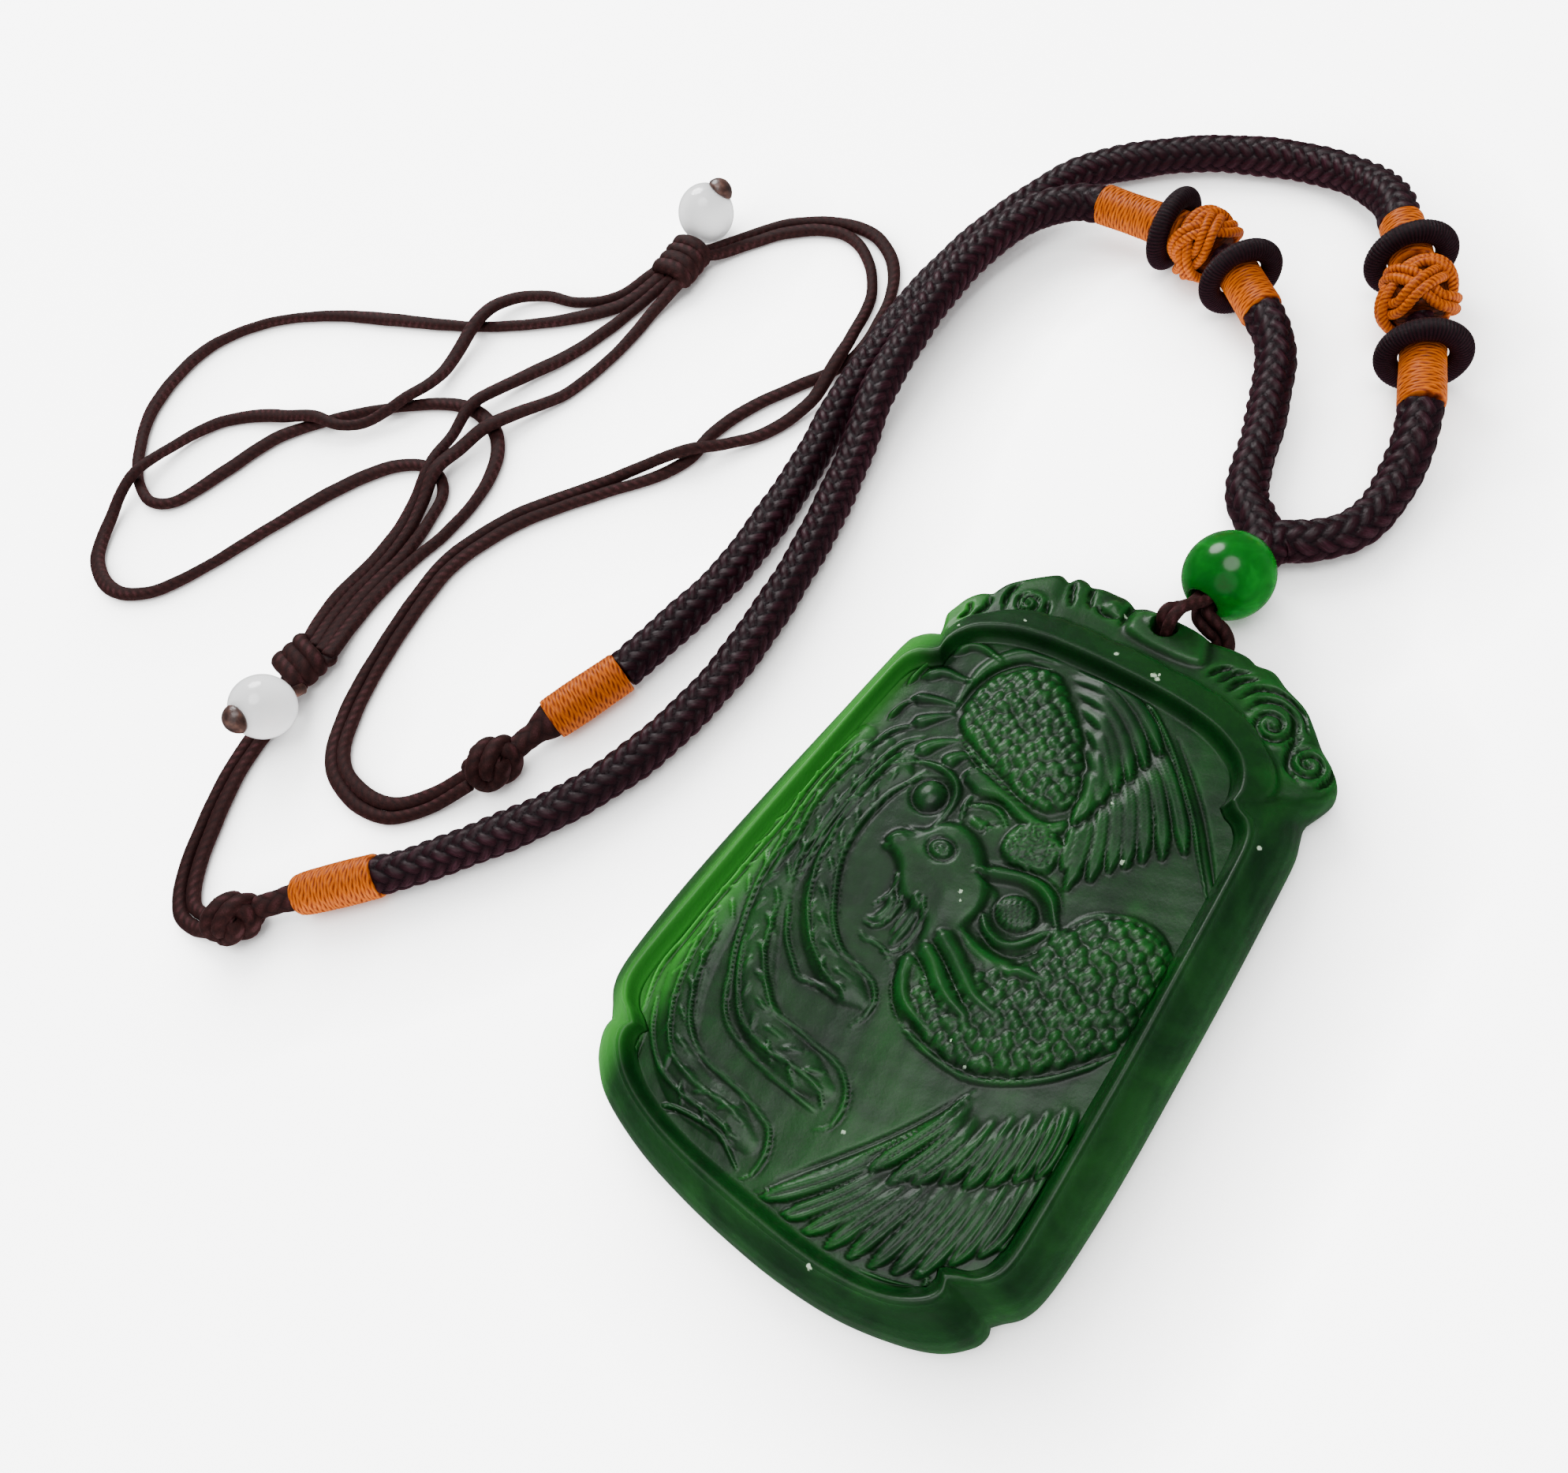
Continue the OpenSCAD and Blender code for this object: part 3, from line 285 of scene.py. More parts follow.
STRANDS = {
    "run_a_1": [
        (-59.6, -18.6, 1.9), (-62.6, -23.3, 0.9), (-66.4, -27.1, 0.75), (-72, -28.1, 0.75),
        (-77.5, -26.3, 0.75), (-81.2, -20.6, 0.75), (-84.2, -11.8, 0.75), (-86.1, -2, 0.75),
        (-86.1, 3.9, 0.75), (-83.3, 11.6, 0.75), (-79.3, 17.4, 0.75), (-74.3, 23.4, 0.75),
        (-70.2, 28, 0.75), (-67.7, 32.8, 0.75), (-67.5, 38.2, 0.75), (-65.6, 44, 0.75), (-62, 50, 0.75),
        (-58.8, 54.8, 0.75), (-57.8, 59, 0.75), (-58.4, 64, 0.75), (-60.2, 70, 0.75), (-64, 75.4, 0.75),
        (-70, 78.8, 0.75), (-77, 78.6, 0.75), (-83.6, 75.6, 0.75), (-88, 71.2, 0.75), (-91, 66.6, 1.2),
        (-91.9, 64.4, 2)],
    "run_a_2": [
        (-58.4, -19.6, 1.9), (-61.5, -24.7, 0.9), (-65.7, -28.8, 0.75), (-72, -29.8, 0.75),
        (-78.4, -27.6, 0.75), (-82.7, -21.3, 0.75), (-85.8, -12, 0.75), (-87.8, -2, 0.75),
        (-87.8, 4.2, 0.75), (-84.8, 12.4, 0.75), (-80.6, 18.5, 0.75), (-75.8, 24.4, 0.9),
        (-71.8, 28.9, 1.7), (-67.6, 33, 2.55), (-63.8, 37.4, 1.3), (-60.4, 42, 0.75), (-58, 48.4, 1.3),
        (-58.2, 54.5, 2.5), (-60.1, 61, 1.4), (-62.4, 68, 0.75), (-66.6, 73.4, 0.75), (-72, 76.7, 0.75),
        (-77.4, 76.7, 0.75), (-82.8, 73.9, 0.75), (-86.6, 70, 0.75), (-89.4, 65.9, 1.2), (-90.3, 64.1, 2)],
    "run_b_1": [
        (-73.2, -51.7, 2), (-76.6, -53, 0.9), (-80.4, -52.8, 0.75), (-84.7, -48.7, 0.75),
        (-88.7, -41.4, 0.75), (-90.8, -36.3, 0.75), (-91.8, -32, 0.75), (-92.6, -27, 0.8),
        (-93.7, -22.2, 1.7)],
    "run_b_2": [
        (-73.8, -50, 2), (-77, -51.2, 0.9), (-79.7, -51, 0.75), (-83.2, -47.4, 0.75), (-87.1, -40.6, 0.75),
        (-89.1, -35.8, 0.75), (-90, -32, 0.75), (-90.7, -27, 0.8), (-92, -22.2, 1.7)],
    "loop_1": [
        (-95.6, 58, 2.2), (-99.1, 52.4, 0.9), (-104.6, 48.8, 0.75), (-111, 47.4, 0.9), (-115.4, 43.6, 1.7),
        (-116.2, 38.2, 2.5), (-115, 30, 1.5), (-114.2, 25.5, 2), (-115.4, 20.6, 2.5), (-118.4, 15, 1.7),
        (-122, 12, 1.9), (-127.5, 10.8, 2.5), (-133, 9, 1.6), (-140, 6.5, 0.75), (-145.5, 2, 0.75),
        (-148.2, -5, 1.3), (-148.2, -12.6, 2.5), (-146, -20, 1.1), (-141.5, -26, 0.75), (-134, -28, 0.75),
        (-127.5, -25, 0.75), (-123, -18, 0.75), (-119, -8, 0.75), (-114.5, 2.5, 0.75), (-110, 9.5, 0.75),
        (-105.5, 12.8, 0.75), (-101.2, 13.2, 0.75), (-97.4, 11, 0.75), (-95.5, 6, 0.75), (-94.5, 0, 0.75),
        (-94.8, -6, 0.75), (-94.2, -12, 0.9), (-92.3, -17.4, 1.7)],
    "loop_2": [
        (-93.9, 58, 2.2), (-96.9, 52, 0.9), (-101.5, 47.2, 0.75), (-108, 42.5, 0.75), (-116, 38.2, 0.75),
        (-124, 35.2, 0.75), (-134, 32, 0.75), (-145, 28, 0.75), (-155, 22, 0.75), (-161.3, 14, 0.75),
        (-162.2, 6, 0.75), (-159.5, -2.5, 0.75), (-153, -9.6, 0.75), (-147.8, -12.9, 0.75),
        (-142.5, -14, 0.75), (-138.3, -11.5, 0.75), (-135.5, -4, 0.75), (-132.5, 5, 0.75),
        (-127.5, 11, 0.75), (-122, 16, 0.75), (-115.5, 20.6, 0.75), (-109.5, 23.8, 0.75),
        (-104, 24.7, 0.75), (-98, 23, 0.75), (-94, 19, 0.75), (-91.8, 13, 0.75), (-91.6, 6, 0.75),
        (-92.6, 0, 0.75), (-93.1, -6, 0.75), (-92.5, -12, 0.9), (-90.8, -17.4, 1.7)],
    "direct_1": [
        (-92.2, 58, 2.2), (-94.6, 52.4, 0.9), (-96.2, 46, 0.75), (-98.4, 39.6, 0.75), (-102, 32, 1.3),
        (-104, 25, 2.4), (-103.3, 19.4, 1.7), (-101.7, 13.6, 2.4), (-100.1, 8, 1.2), (-98.7, 3, 0.75),
        (-98, -3, 0.75), (-98.3, -9, 0.75), (-97.6, -13.4, 0.9), (-95.6, -17.4, 1.7)],
    "direct_2": [
        (-90.5, 58, 2.2), (-91.6, 52, 0.9), (-91.4, 46, 0.75), (-91.8, 40, 0.75), (-93.4, 33.4, 0.75),
        (-96.6, 27.6, 1.5), (-98.6, 22.6, 2.4), (-100, 17.6, 1.9), (-100, 13, 2.4), (-98.4, 7.8, 1.2),
        (-97, 3, 0.75), (-96.3, -3, 0.75), (-96.5, -9, 0.75), (-95.8, -13.4, 0.9), (-93.9, -17.4, 1.7)]}


def string_parts(line, d, seed=0.0, up=(0, 0, 1), sides=16, flat=0.03):
    """A tube of plaited string: a plait of four yarns each way presses its outline by 5%, slow waves along
    it make it uneven by 4%, and it lies flat, wider than it is high by twice flat, more in some places than
    in others."""
    s = arc_length(line)[:, None]
    turn = (np.arange(sides) / sides)[None]
    height, _, _, _ = braid_relief(s, turn, 4, 5.2)
    uneven = 0.02 * np.sin(s / 1.9 + seed) + 0.02 * np.sin(s / 0.83 + 2 * seed + 2 * np.pi * turn)
    wide = flat * (1 + 0.6 * np.sin(s / 7 + 3 * seed))
    radius = d / 2 * (1 - 0.05 * (1 - height) + uneven + wide * (1 + np.cos(4 * np.pi * turn)))
    return *tube_parts(line, radius, up), np.r_[height.ravel(), 0, 0], straightened(line, radius)


# Waxed string: matte and a little woolly, its colour painted lighter on the plait's crowns and darker between
# them as light and shade.
strand_material, tree, shader = new_material("waxed_string_dark", Roughness=0.7, Specular_IOR_Level=0.12)
crown = add_node(tree, "Attribute", attribute_name="crown").outputs["Fac"]
straight = add_node(tree, "Attribute", attribute_name="straight").outputs["Vector"]
fuzz = add_node(tree, "TexNoise", {"Vector": straight, "Scale": 5.0, "Detail": 4.0,
                                   "Roughness": 0.65}).outputs["Fac"]
tone = add_node(tree, "Mix", {"Factor": 0.45, "A": crown, "B": fuzz}, data_type="FLOAT").outputs["Result"]
link_surface(tree, shader, colour_steps(tree, tone, (0.2, 0.6, 0.9), STRAND_COLOURS), fuzz, 0.5, 0.0001)

for number, (name, route) in enumerate(STRANDS.items()):
    line = smooth_route(route, STRAND_STEP)
    pressed = RUN_PRESSED if name.startswith("run") else LOOP_PRESSED
    points, quads, triangles, height, straight = string_parts(line, STRAND_D, 1.3 * number, flat=pressed)
    points[:, 2] = np.maximum(points[:, 2], LOWEST)
    piece = add_mesh(name + "_string", points, quads, triangles, {"crown": height, "straight": straight})
    dress(piece, strand_material, name)


# The bail is two strings side by side, a little thinner. They come out of the hole, lie over the rim of the
# scrolls and go up through the green bead to the fold of the braid. Their way under the plaque is hidden.
BAIL_D = 1.3
BAIL = [
    (3.85, 50.9, 5.75), (3.2, 46.5, 5.75), (2.55, 42.1, 5.75), (2.1, 40.5, 6.4), (1.6, 39.3, 7.2),
    (1.25, 38.3, 7.7), (1.05, 37.4, 7.4), (1.05, 36.95, 6.6), (1.05, 36.85, 5), (1.05, 36.85, 2.6),
    (1.2, 36.95, 1.4), (1.9, 37.3, 0.85), (3.2, 37.9, 0.8), (4.6, 38.6, 0.8), (5.9, 39.3, 0.9),
    (6.4, 40.1, 1.5), (5.6, 40.8, 2.4), (4.3, 40.9, 3.3), (3, 41.4, 3.95), (2.8, 43, 4.05),
    (3.2, 46.5, 4.05), (3.85, 50.9, 4.05)]
BAIL_UP = (0.5, 0.5, -0.7)
# The strings lie this far each side of the middle, and nearer inside the bead, which starts at this Y
BAIL_APART, BAIL_NEARER, BEAD_MOUTH_Y = 0.68, 0.2, 42

line = smooth_route(BAIL, 0.2)
side, _ = cross_axes(line, BAIL_UP)
in_bead = np.clip((line[:, 1:2] - BEAD_MOUTH_Y) / 2.5, 0, 1)
apart = (BAIL_APART - BAIL_NEARER * in_bead) * side
parts = [string_parts(line + k * apart, BAIL_D, 0.4 + k, BAIL_UP) for k in (-1, 1)]
points, quads, triangles, crown, straight = joined(parts)
bail = add_mesh("bail_strings", points, quads, triangles, {"crown": crown, "straight": straight})
dress(bail, strand_material, "bail_loop")


# The green bead is a ground and polished glass ball with a bore along it. The colour runs all through, so
# the ball is deep green where it is thick and lighter towards the light's far side.
BEAD_AT, BEAD_AZ = np.array([3.2, 46.45, 4.9]), 81.5
BEAD_D, BEAD_BORE, BEAD_LIP = 9.8, 3.6, 0.25
GLASS_COLOURS = ("#014a0c", "#015d13", "#04701e")


def heading(az, up=0.0):
    """Unit vector at an azimuth and a rise in degrees."""
    az, up = np.radians(az), np.radians(up)
    return np.array([np.cos(az) * np.cos(up), np.sin(az) * np.cos(up), np.sin(up)])


def placed(points, at, az, up=0.0):
    """Points with their own Z turned to the heading and their origin put at a point."""
    z = heading(az, up)
    y = heading(az + 90)
    return points @ np.stack([np.cross(y, z), y, z]) + at


def lathe_parts(profile, sides=96):
    """Closed surface of a looped profile (radius, height) turned round Z: (r cos a, r sin a, h). The profile
    may differ from side to side."""
    profile = np.asarray(profile, float)
    if profile.ndim == 2:
        profile = np.repeat(profile[:, None], sides, 1)
    a = np.arange(sides) * 2 * np.pi / sides
    r, h = profile[..., 0], profile[..., 1]
    points = np.stack([r * np.cos(a), r * np.sin(a), h], -1).reshape(-1, 3)
    n = len(profile)
    i, j = np.meshgrid(np.arange(n), np.arange(sides), indexing="ij")
    i1, j1 = (i + 1) % n, (j + 1) % sides
    quads = np.stack([i * sides + j, i * sides + j1, i1 * sides + j1, i1 * sides + j], -1).reshape(-1, 4)
    return points, quads, []


def turned_parts(profile, sides=48):
    """Closed surface of a profile that runs from a pole on Z, up the outside, to another pole."""
    profile = np.asarray(profile, float)
    points, quads, _ = lathe_parts(profile[1:-1], sides)
    quads = quads[:-sides]
    low, high, n = len(points), len(points) + 1, len(profile) - 2
    j = np.arange(sides)
    j1 = (j + 1) % sides
    caps = np.vstack([np.stack([np.full(sides, low), j1, j], 1),
                      np.stack([np.full(sides, high), (n - 1) * sides + j, (n - 1) * sides + j1], 1)])
    return np.vstack([points, [0, 0, profile[0, 1]], [0, 0, profile[-1, 1]]]), quads, caps


def bead_profile(d, bore, edge):
    """Loop of a bored ball: up the outside on a circle, over a small rounded lip and down the bore."""
    r, b = d / 2, bore / 2
    top = np.arccos((b + edge) / r)
    t = np.linspace(-top, top, 64)
    h = r * np.sin(top)
    c = np.linspace(0, np.pi / 2, 7)[1:]
    lip = np.stack([b + edge - edge * np.sin(c), h - edge + edge * np.cos(c)], 1)
    bottom = lip[::-1] * [1, -1]
    return np.vstack([np.stack([r * np.cos(t), r * np.sin(t)], 1), lip, bottom])


points, quads, triangles = lathe_parts(bead_profile(BEAD_D, BEAD_BORE, BEAD_LIP))
green_bead = add_mesh("green_bead_ball", placed(points, BEAD_AT, BEAD_AZ), quads, triangles)

# Dyed glass with a polished face: light goes in and comes out green, with faint cloudy streaks.
green_glass, tree, shader = new_material("dyed_glass_green", Roughness=0.18, IOR=1.52, Specular_IOR_Level=0.2,
                                         Subsurface_Weight=0.6, Subsurface_Scale=0.002)
shader.inputs["Subsurface Radius"].default_value = (0.15, 1.0, 0.25)
place = add_node(tree, "TexCoord").outputs["Object"]
cloud = add_node(tree, "TexNoise", {"Vector": place, "Scale": 260.0, "Detail": 3.0,
                                    "Distortion": 1.2}).outputs["Fac"]
tree.links.new(colour_steps(tree, cloud, (0.3, 0.55, 0.75), GLASS_COLOURS), shader.inputs["Base Color"])
dress(green_bead, green_glass, "green_bead")


# The plaque is one slab of dark green jade, sawn flat at the back and carved in front: a raised rim with a
# notch at each corner, a sunk field with a phoenix in low relief, and a band of scrolls at the top.
# It was ground with small round points, so every step of the carving has soft edges and shallow lines.
PLAQUE_W, PLAQUE_H, PLAQUE_T = 52.4, 78.4, 8.5
FIELD_DROP, BACK_INSET = 1.9, 1.3
FIELD_Z = PLAQUE_T - FIELD_DROP
HOLE_AT, HOLE_D, GROOVE_W = (1.05, 36.85), 3.0, 2.9
half = np.array([PLAQUE_W / 2, PLAQUE_H / 2])

# Outline of the base in shares of half the width and half the height, from notch to notch
BASE_FOOT = [
    [(-0.889, -0.776), (-0.889, -0.798), (-0.87, -0.832), (-0.813, -0.885), (-0.695, -0.936),
     (-0.466, -0.977), (-0.229, -0.995), (0, -1), (0.229, -0.995), (0.466, -0.972), (0.668, -0.929),
     (0.802, -0.883), (0.882, -0.827), (0.901, -0.791), (0.893, -0.77)]]
BASE_RIGHT = [
    [(0.893, -0.77), (0.916, -0.75), (0.969, -0.704), (0.994, -0.625), (1, -0.459), (0.994, -0.281),
     (0.977, -0.051), (0.958, 0.179), (0.931, 0.434), (0.916, 0.548), (0.897, 0.599), (0.882, 0.635),
     (0.882, 0.663)]]
BASE_TOP = [
    [(0.882, 0.663), (0.908, 0.709), (0.92, 0.75), (0.878, 0.791), (0.802, 0.832), (0.737, 0.878),
     (0.668, 0.921), (0.569, 0.952), (0.496, 0.98), (0.424, 0.977)],
    [(0.424, 0.977), (0.374, 0.99), (0.305, 0.99), (0.229, 0.982)],
    [(0.229, 0.982), (0.134, 0.996), (0.019, 1), (-0.073, 0.996), (-0.118, 0.98)],
    [(-0.118, 0.98), (-0.168, 0.996), (-0.221, 0.997), (-0.282, 0.996), (-0.332, 0.985)],
    [(-0.332, 0.985), (-0.359, 0.995), (-0.401, 0.995), (-0.427, 0.969)],
    [(-0.427, 0.969), (-0.481, 0.98), (-0.542, 0.952), (-0.603, 0.916), (-0.653, 0.878), (-0.679, 0.829)],
    [(-0.679, 0.829), (-0.725, 0.814), (-0.763, 0.781), (-0.782, 0.74), (-0.794, 0.702), (-0.779, 0.653)]]
BASE_LEFT = [
    [(-0.779, 0.653), (-0.824, 0.64), (-0.859, 0.615), (-0.882, 0.582), (-0.901, 0.459), (-0.92, 0.306),
     (-0.958, 0.026), (-0.992, -0.281), (-1, -0.459), (-0.992, -0.625), (-0.969, -0.699), (-0.916, -0.75),
     (-0.889, -0.776)]]
# Crest of the rim, mirrored about the middle
CREST_FOOT_HALF = [
    (0, -0.916), (0.267, -0.911), (0.458, -0.893), (0.611, -0.86), (0.71, -0.814), (0.744, -0.776),
    (0.733, -0.745)]
CREST_RIGHT = [
    (0.733, -0.745), (0.771, -0.727), (0.832, -0.699), (0.87, -0.645), (0.874, -0.536), (0.859, -0.306),
    (0.844, -0.102), (0.821, 0.128), (0.794, 0.383), (0.775, 0.485), (0.74, 0.526), (0.695, 0.543),
    (0.664, 0.561)]
CREST_TOP_HALF = [
    (0.664, 0.561), (0.664, 0.599), (0.637, 0.643), (0.58, 0.684), (0.458, 0.724), (0.305, 0.745),
    (0.153, 0.753), (0, 0.755)]
# Section of the rim from the back to the crest: inset share, share of the way to the crest, height share
FOOT_ROWS = [(1, 0, 0), (0.35, 0, 0.035), (0.08, 0, 0.12), (0, 0, 0.25)]
SIDE_ROWS = FOOT_ROWS + [(0, 0.06, 0.40), (0, 0.20, 0.575), (0, 0.42, 0.72), (0, 0.66, 0.82),
                         (0, 0.86, 0.885), (0, 0.95, 0.93), (0, 1, 0.98)]
SCROLL_ROWS = FOOT_ROWS + [(0, 0.01, 0.42), (0, 0.035, 0.56), (0, 0.10, 0.62), (0, 0.40, 0.68),
                           (0, 0.67, 0.70), (0, 0.72, 0.88), (0, 1, 0.98)]


def mirrored(points):
    """Points reflected about the middle, in the opposite order."""
    return [(-x, y) for x, y in points[::-1]]


def run_nodes(curves, count):
    """count + 1 evenly spaced points in mm along smooth curves that meet in creases."""
    fine = [smooth_route(np.array(c, float) * half, 0.05) for c in curves]
    line = np.vstack([fine[0]] + [f[1:] for f in fine[1:]])
    s = arc_length(line)
    at = np.linspace(0, s[-1], count + 1)
    return np.stack([np.interp(at, s, line[:, k]) for k in range(2)], 1)


def section_rows(rows, count, close=()):
    """count rows at even steps along the section's broken line, each averaged with its neighbours. The
    stretches whose numbers are in close get three times as many."""
    rows = np.array(rows, float)
    steps = np.linalg.norm(np.diff(rows * [BACK_INSET, 5.5, PLAQUE_T], axis=0), axis=1)
    steps[list(close)] *= 3
    s = np.r_[0, np.cumsum(steps)]
    at = np.linspace(0, s[-1], count)
    even = np.stack([np.interp(at, s, rows[:, k]) for k in range(3)], 1)
    round_off = even.copy()
    round_off[1:-1] = (even[:-2] + 2 * even[1:-1] + even[2:]) / 4
    return round_off


ACROSS, UP, ROWS = 192, 256, 44
crest_foot = mirrored(CREST_FOOT_HALF) + CREST_FOOT_HALF[1:]
crest_top = CREST_TOP_HALF + mirrored(CREST_TOP_HALF)[1:]
BASE_RUNS = (BASE_FOOT, BASE_RIGHT, BASE_TOP, BASE_LEFT)
CREST_RUNS = ([crest_foot], [CREST_RIGHT], [crest_top], [mirrored(CREST_RIGHT)])
base, crest = (np.vstack([run_nodes(run, count)[:-1] for run, count in zip(runs, (ACROSS, UP, ACROSS, UP))])
               for runs in (BASE_RUNS, CREST_RUNS))
ring = len(base)
inward = (crest - base) / np.linalg.norm(crest - base, axis=1, keepdims=True)
# How much of the scroll band's section each column has: all of it along the top, none elsewhere
top_share = np.zeros(ring)
in_top = np.arange(ACROSS + 1) / ACROSS
top_share[ACROSS + UP:2 * ACROSS + UP] = np.clip(np.minimum(in_top, 1 - in_top)[:-1] * 30, 0, 1)
row = ((1 - top_share[:, None, None]) * section_rows(SIDE_ROWS, ROWS)
       + top_share[:, None, None] * section_rows(SCROLL_ROWS, ROWS, (5, 6, 7)))
outer_xy = (base[:, None] + inward[:, None] * row[..., :1] * BACK_INSET
            + (crest - base)[:, None] * row[..., 1:2])
outer = np.concatenate([outer_xy, row[..., 2:] * PLAQUE_T], 2)
# The crest is a soft band, and the wall falls from it to the field in a hollow curve
WALL_ROWS = [(0.35, 0), (0.6, -0.06), (0.8, -0.25), (1.0, -0.75), (1.2, -1.3), (1.45, -1.7), (1.7, -1.86)]
wall_in, wall_up = np.array(WALL_ROWS).T[:, None, :, None]
inner_xy = crest[:, None] + inward[:, None] * wall_in
inner = np.concatenate([inner_xy, PLAQUE_T + wall_up + 0 * inner_xy[..., :1]], 2)


def distance_to(x, y, line):
    """Least distance from points to a broken line, and the share of its length there."""
    best, share = np.full(x.shape, 1e9), np.zeros(x.shape)
    s = arc_length(line)
    for k in range(len(line) - 1):
        ax, ay = line[k]
        dx, dy = line[k + 1] - line[k]
        t = np.clip(((x - ax) * dx + (y - ay) * dy) / (dx * dx + dy * dy + 1e-12), 0, 1)
        d = np.hypot(x - ax - t * dx, y - ay - t * dy)
        nearer = d < best
        best = np.where(nearer, d, best)
        share = np.where(nearer, (s[k] + t * (s[k + 1] - s[k])) / s[-1], share)
    return best, share


def smoothstep(v):
    """0 below 0, 1 above 1, and 3v2 - 2v3 between."""
    v = np.clip(v, 0, 1)
    return v * v * (3 - 2 * v)


def ellipse(centre, rx, ry, count=12):
    """count points round an ellipse."""
    turn = 2 * np.pi * np.arange(count)[:, None] / count
    return np.array([centre]) + np.hstack([rx * np.cos(turn), ry * np.sin(turn)])


def ring_line(centre, rx, ry):
    """An ellipse that ends where it starts."""
    loop = ellipse(centre, rx, ry)
    return np.vstack([loop, loop[:1]])


CARVE_STEP = 0.4


class Carving:
    """Height of the carving over points of the field. Shapes are laid on one after another."""

    def __init__(self, x, y):
        self.x, self.y, self.z = x, y, np.zeros(x.shape)

    def near(self, line, reach):
        """Numbers of the points within reach of a line's box."""
        low, high = line.min(0) - reach, line.max(0) + reach
        return np.flatnonzero((self.x > low[0]) & (self.x < high[0]) & (self.y > low[1]) & (self.y < high[1]))

    def stroke(self, points, width, height, ends=(0.25, 0.25), power=1.0):
        """A rounded ridge, or a groove if its height is below 0: height cos2 of the share of half the width.
        It tapers over the shares of its length in ends."""
        line = smooth_route(points, CARVE_STEP)
        at = self.near(line, width)
        d, share = distance_to(self.x[at], self.y[at], line)
        taper = np.clip(np.minimum((share + 0.02) / ends[0], (1.02 - share) / ends[1]), 0, 1)
        reach = width / 2 * (0.25 + 0.75 * taper)
        across = np.cos(np.pi / 2 * np.clip(d / reach, 0, 1)) ** (2 * power)
        self.z[at] += height * (0.35 + 0.65 * taper) * across

    def strokes(self, *rows):
        """Strokes from rows of points, width, height and, where a row has them, ends and power."""
        for row in rows:
            self.stroke(*row)

    def plateau(self, points, height, edge, dome=0.0):
        """A raised area, level but for a low dome. Within edge of its outline it takes over from what lay
        there. Gives the numbers of the points inside and how far in they lie."""
        line = smooth_route(np.vstack([points[-1:], points, points[:2]]), CARVE_STEP)
        step = np.linalg.norm(line - np.array(points[0], float), axis=1)
        first = int(np.argmin(step[: len(step) // 2]))
        last = int(len(step) // 2 + np.argmin(step[len(step) // 2:]))
        line = np.vstack([line[first:last], line[first:first + 1]])
        at = self.near(line, 0.2)
        x, y = self.x[at], self.y[at]
        d, _ = distance_to(x, y, line)
        ax, ay, bx, by = *line[:-1].T, *line[1:].T
        crossing = ((ay[:, None] > y) != (by[:, None] > y)) & (
            x < (bx - ax)[:, None] * (y - ay[:, None]) / ((by - ay)[:, None] + 1e-12) + ax[:, None])
        inside = crossing.sum(0) % 2 == 1
        k = smoothstep(d / edge)
        top = (1 - k) * self.z[at] + height * k + dome * smoothstep(d / (4 * edge))
        self.z[at] = np.where(inside, top, self.z[at])
        return at[inside], d[inside]

    def feather(self, points, width, height, cut=0.5):
        """A feather: a rounded blade that narrows to its tip, with a cut line down its middle."""
        line = smooth_route(points, CARVE_STEP)
        at = self.near(line, width)
        d, share = distance_to(self.x[at], self.y[at], line)
        taper = np.clip((1.03 - share) / 0.22, 0.12, 1) ** 0.6
        q = d / (width / 2 * taper)
        blade = np.where(q < 1, np.sqrt(np.clip(1 - q**2.6, 0, 1)), 0)
        grow = smoothstep(share / 0.35)
        raised = height * grow * (blade - cut * np.exp(-((d / 0.19) ** 2)))
        self.z[at] = np.where(q < 1, np.maximum(self.z[at], 0.2 * self.z[at] + raised), self.z[at])


# The sunk field is a patch between the four sides of the wall's foot. It blends opposite sides in
# straight lines, adds both blends, and takes off the plain blend of its four corners.
foot_ring = np.vstack([inner_xy[:, -1], inner_xy[:1, -1]])
foot_side = foot_ring[:ACROSS + 1]
right_side = foot_ring[ACROSS:ACROSS + UP + 1]
top_side = foot_ring[ACROSS + UP:2 * ACROSS + UP + 1][::-1]
left_side = foot_ring[2 * ACROSS + UP:][::-1]
u = np.linspace(0, 1, ACROSS + 1)[:, None, None]
v = np.linspace(0, 1, UP + 1)[None, :, None]
corners = ((1 - u) * ((1 - v) * foot_side[0] + v * top_side[0])
           + u * ((1 - v) * foot_side[-1] + v * top_side[-1]))
patch = ((1 - v) * foot_side[:, None] + v * top_side[:, None]
         + (1 - u) * left_side[None] + u * right_side[None] - corners)
field = Carving(patch[..., 0].ravel(), patch[..., 1].ravel())
scaled = np.zeros(field.x.shape)

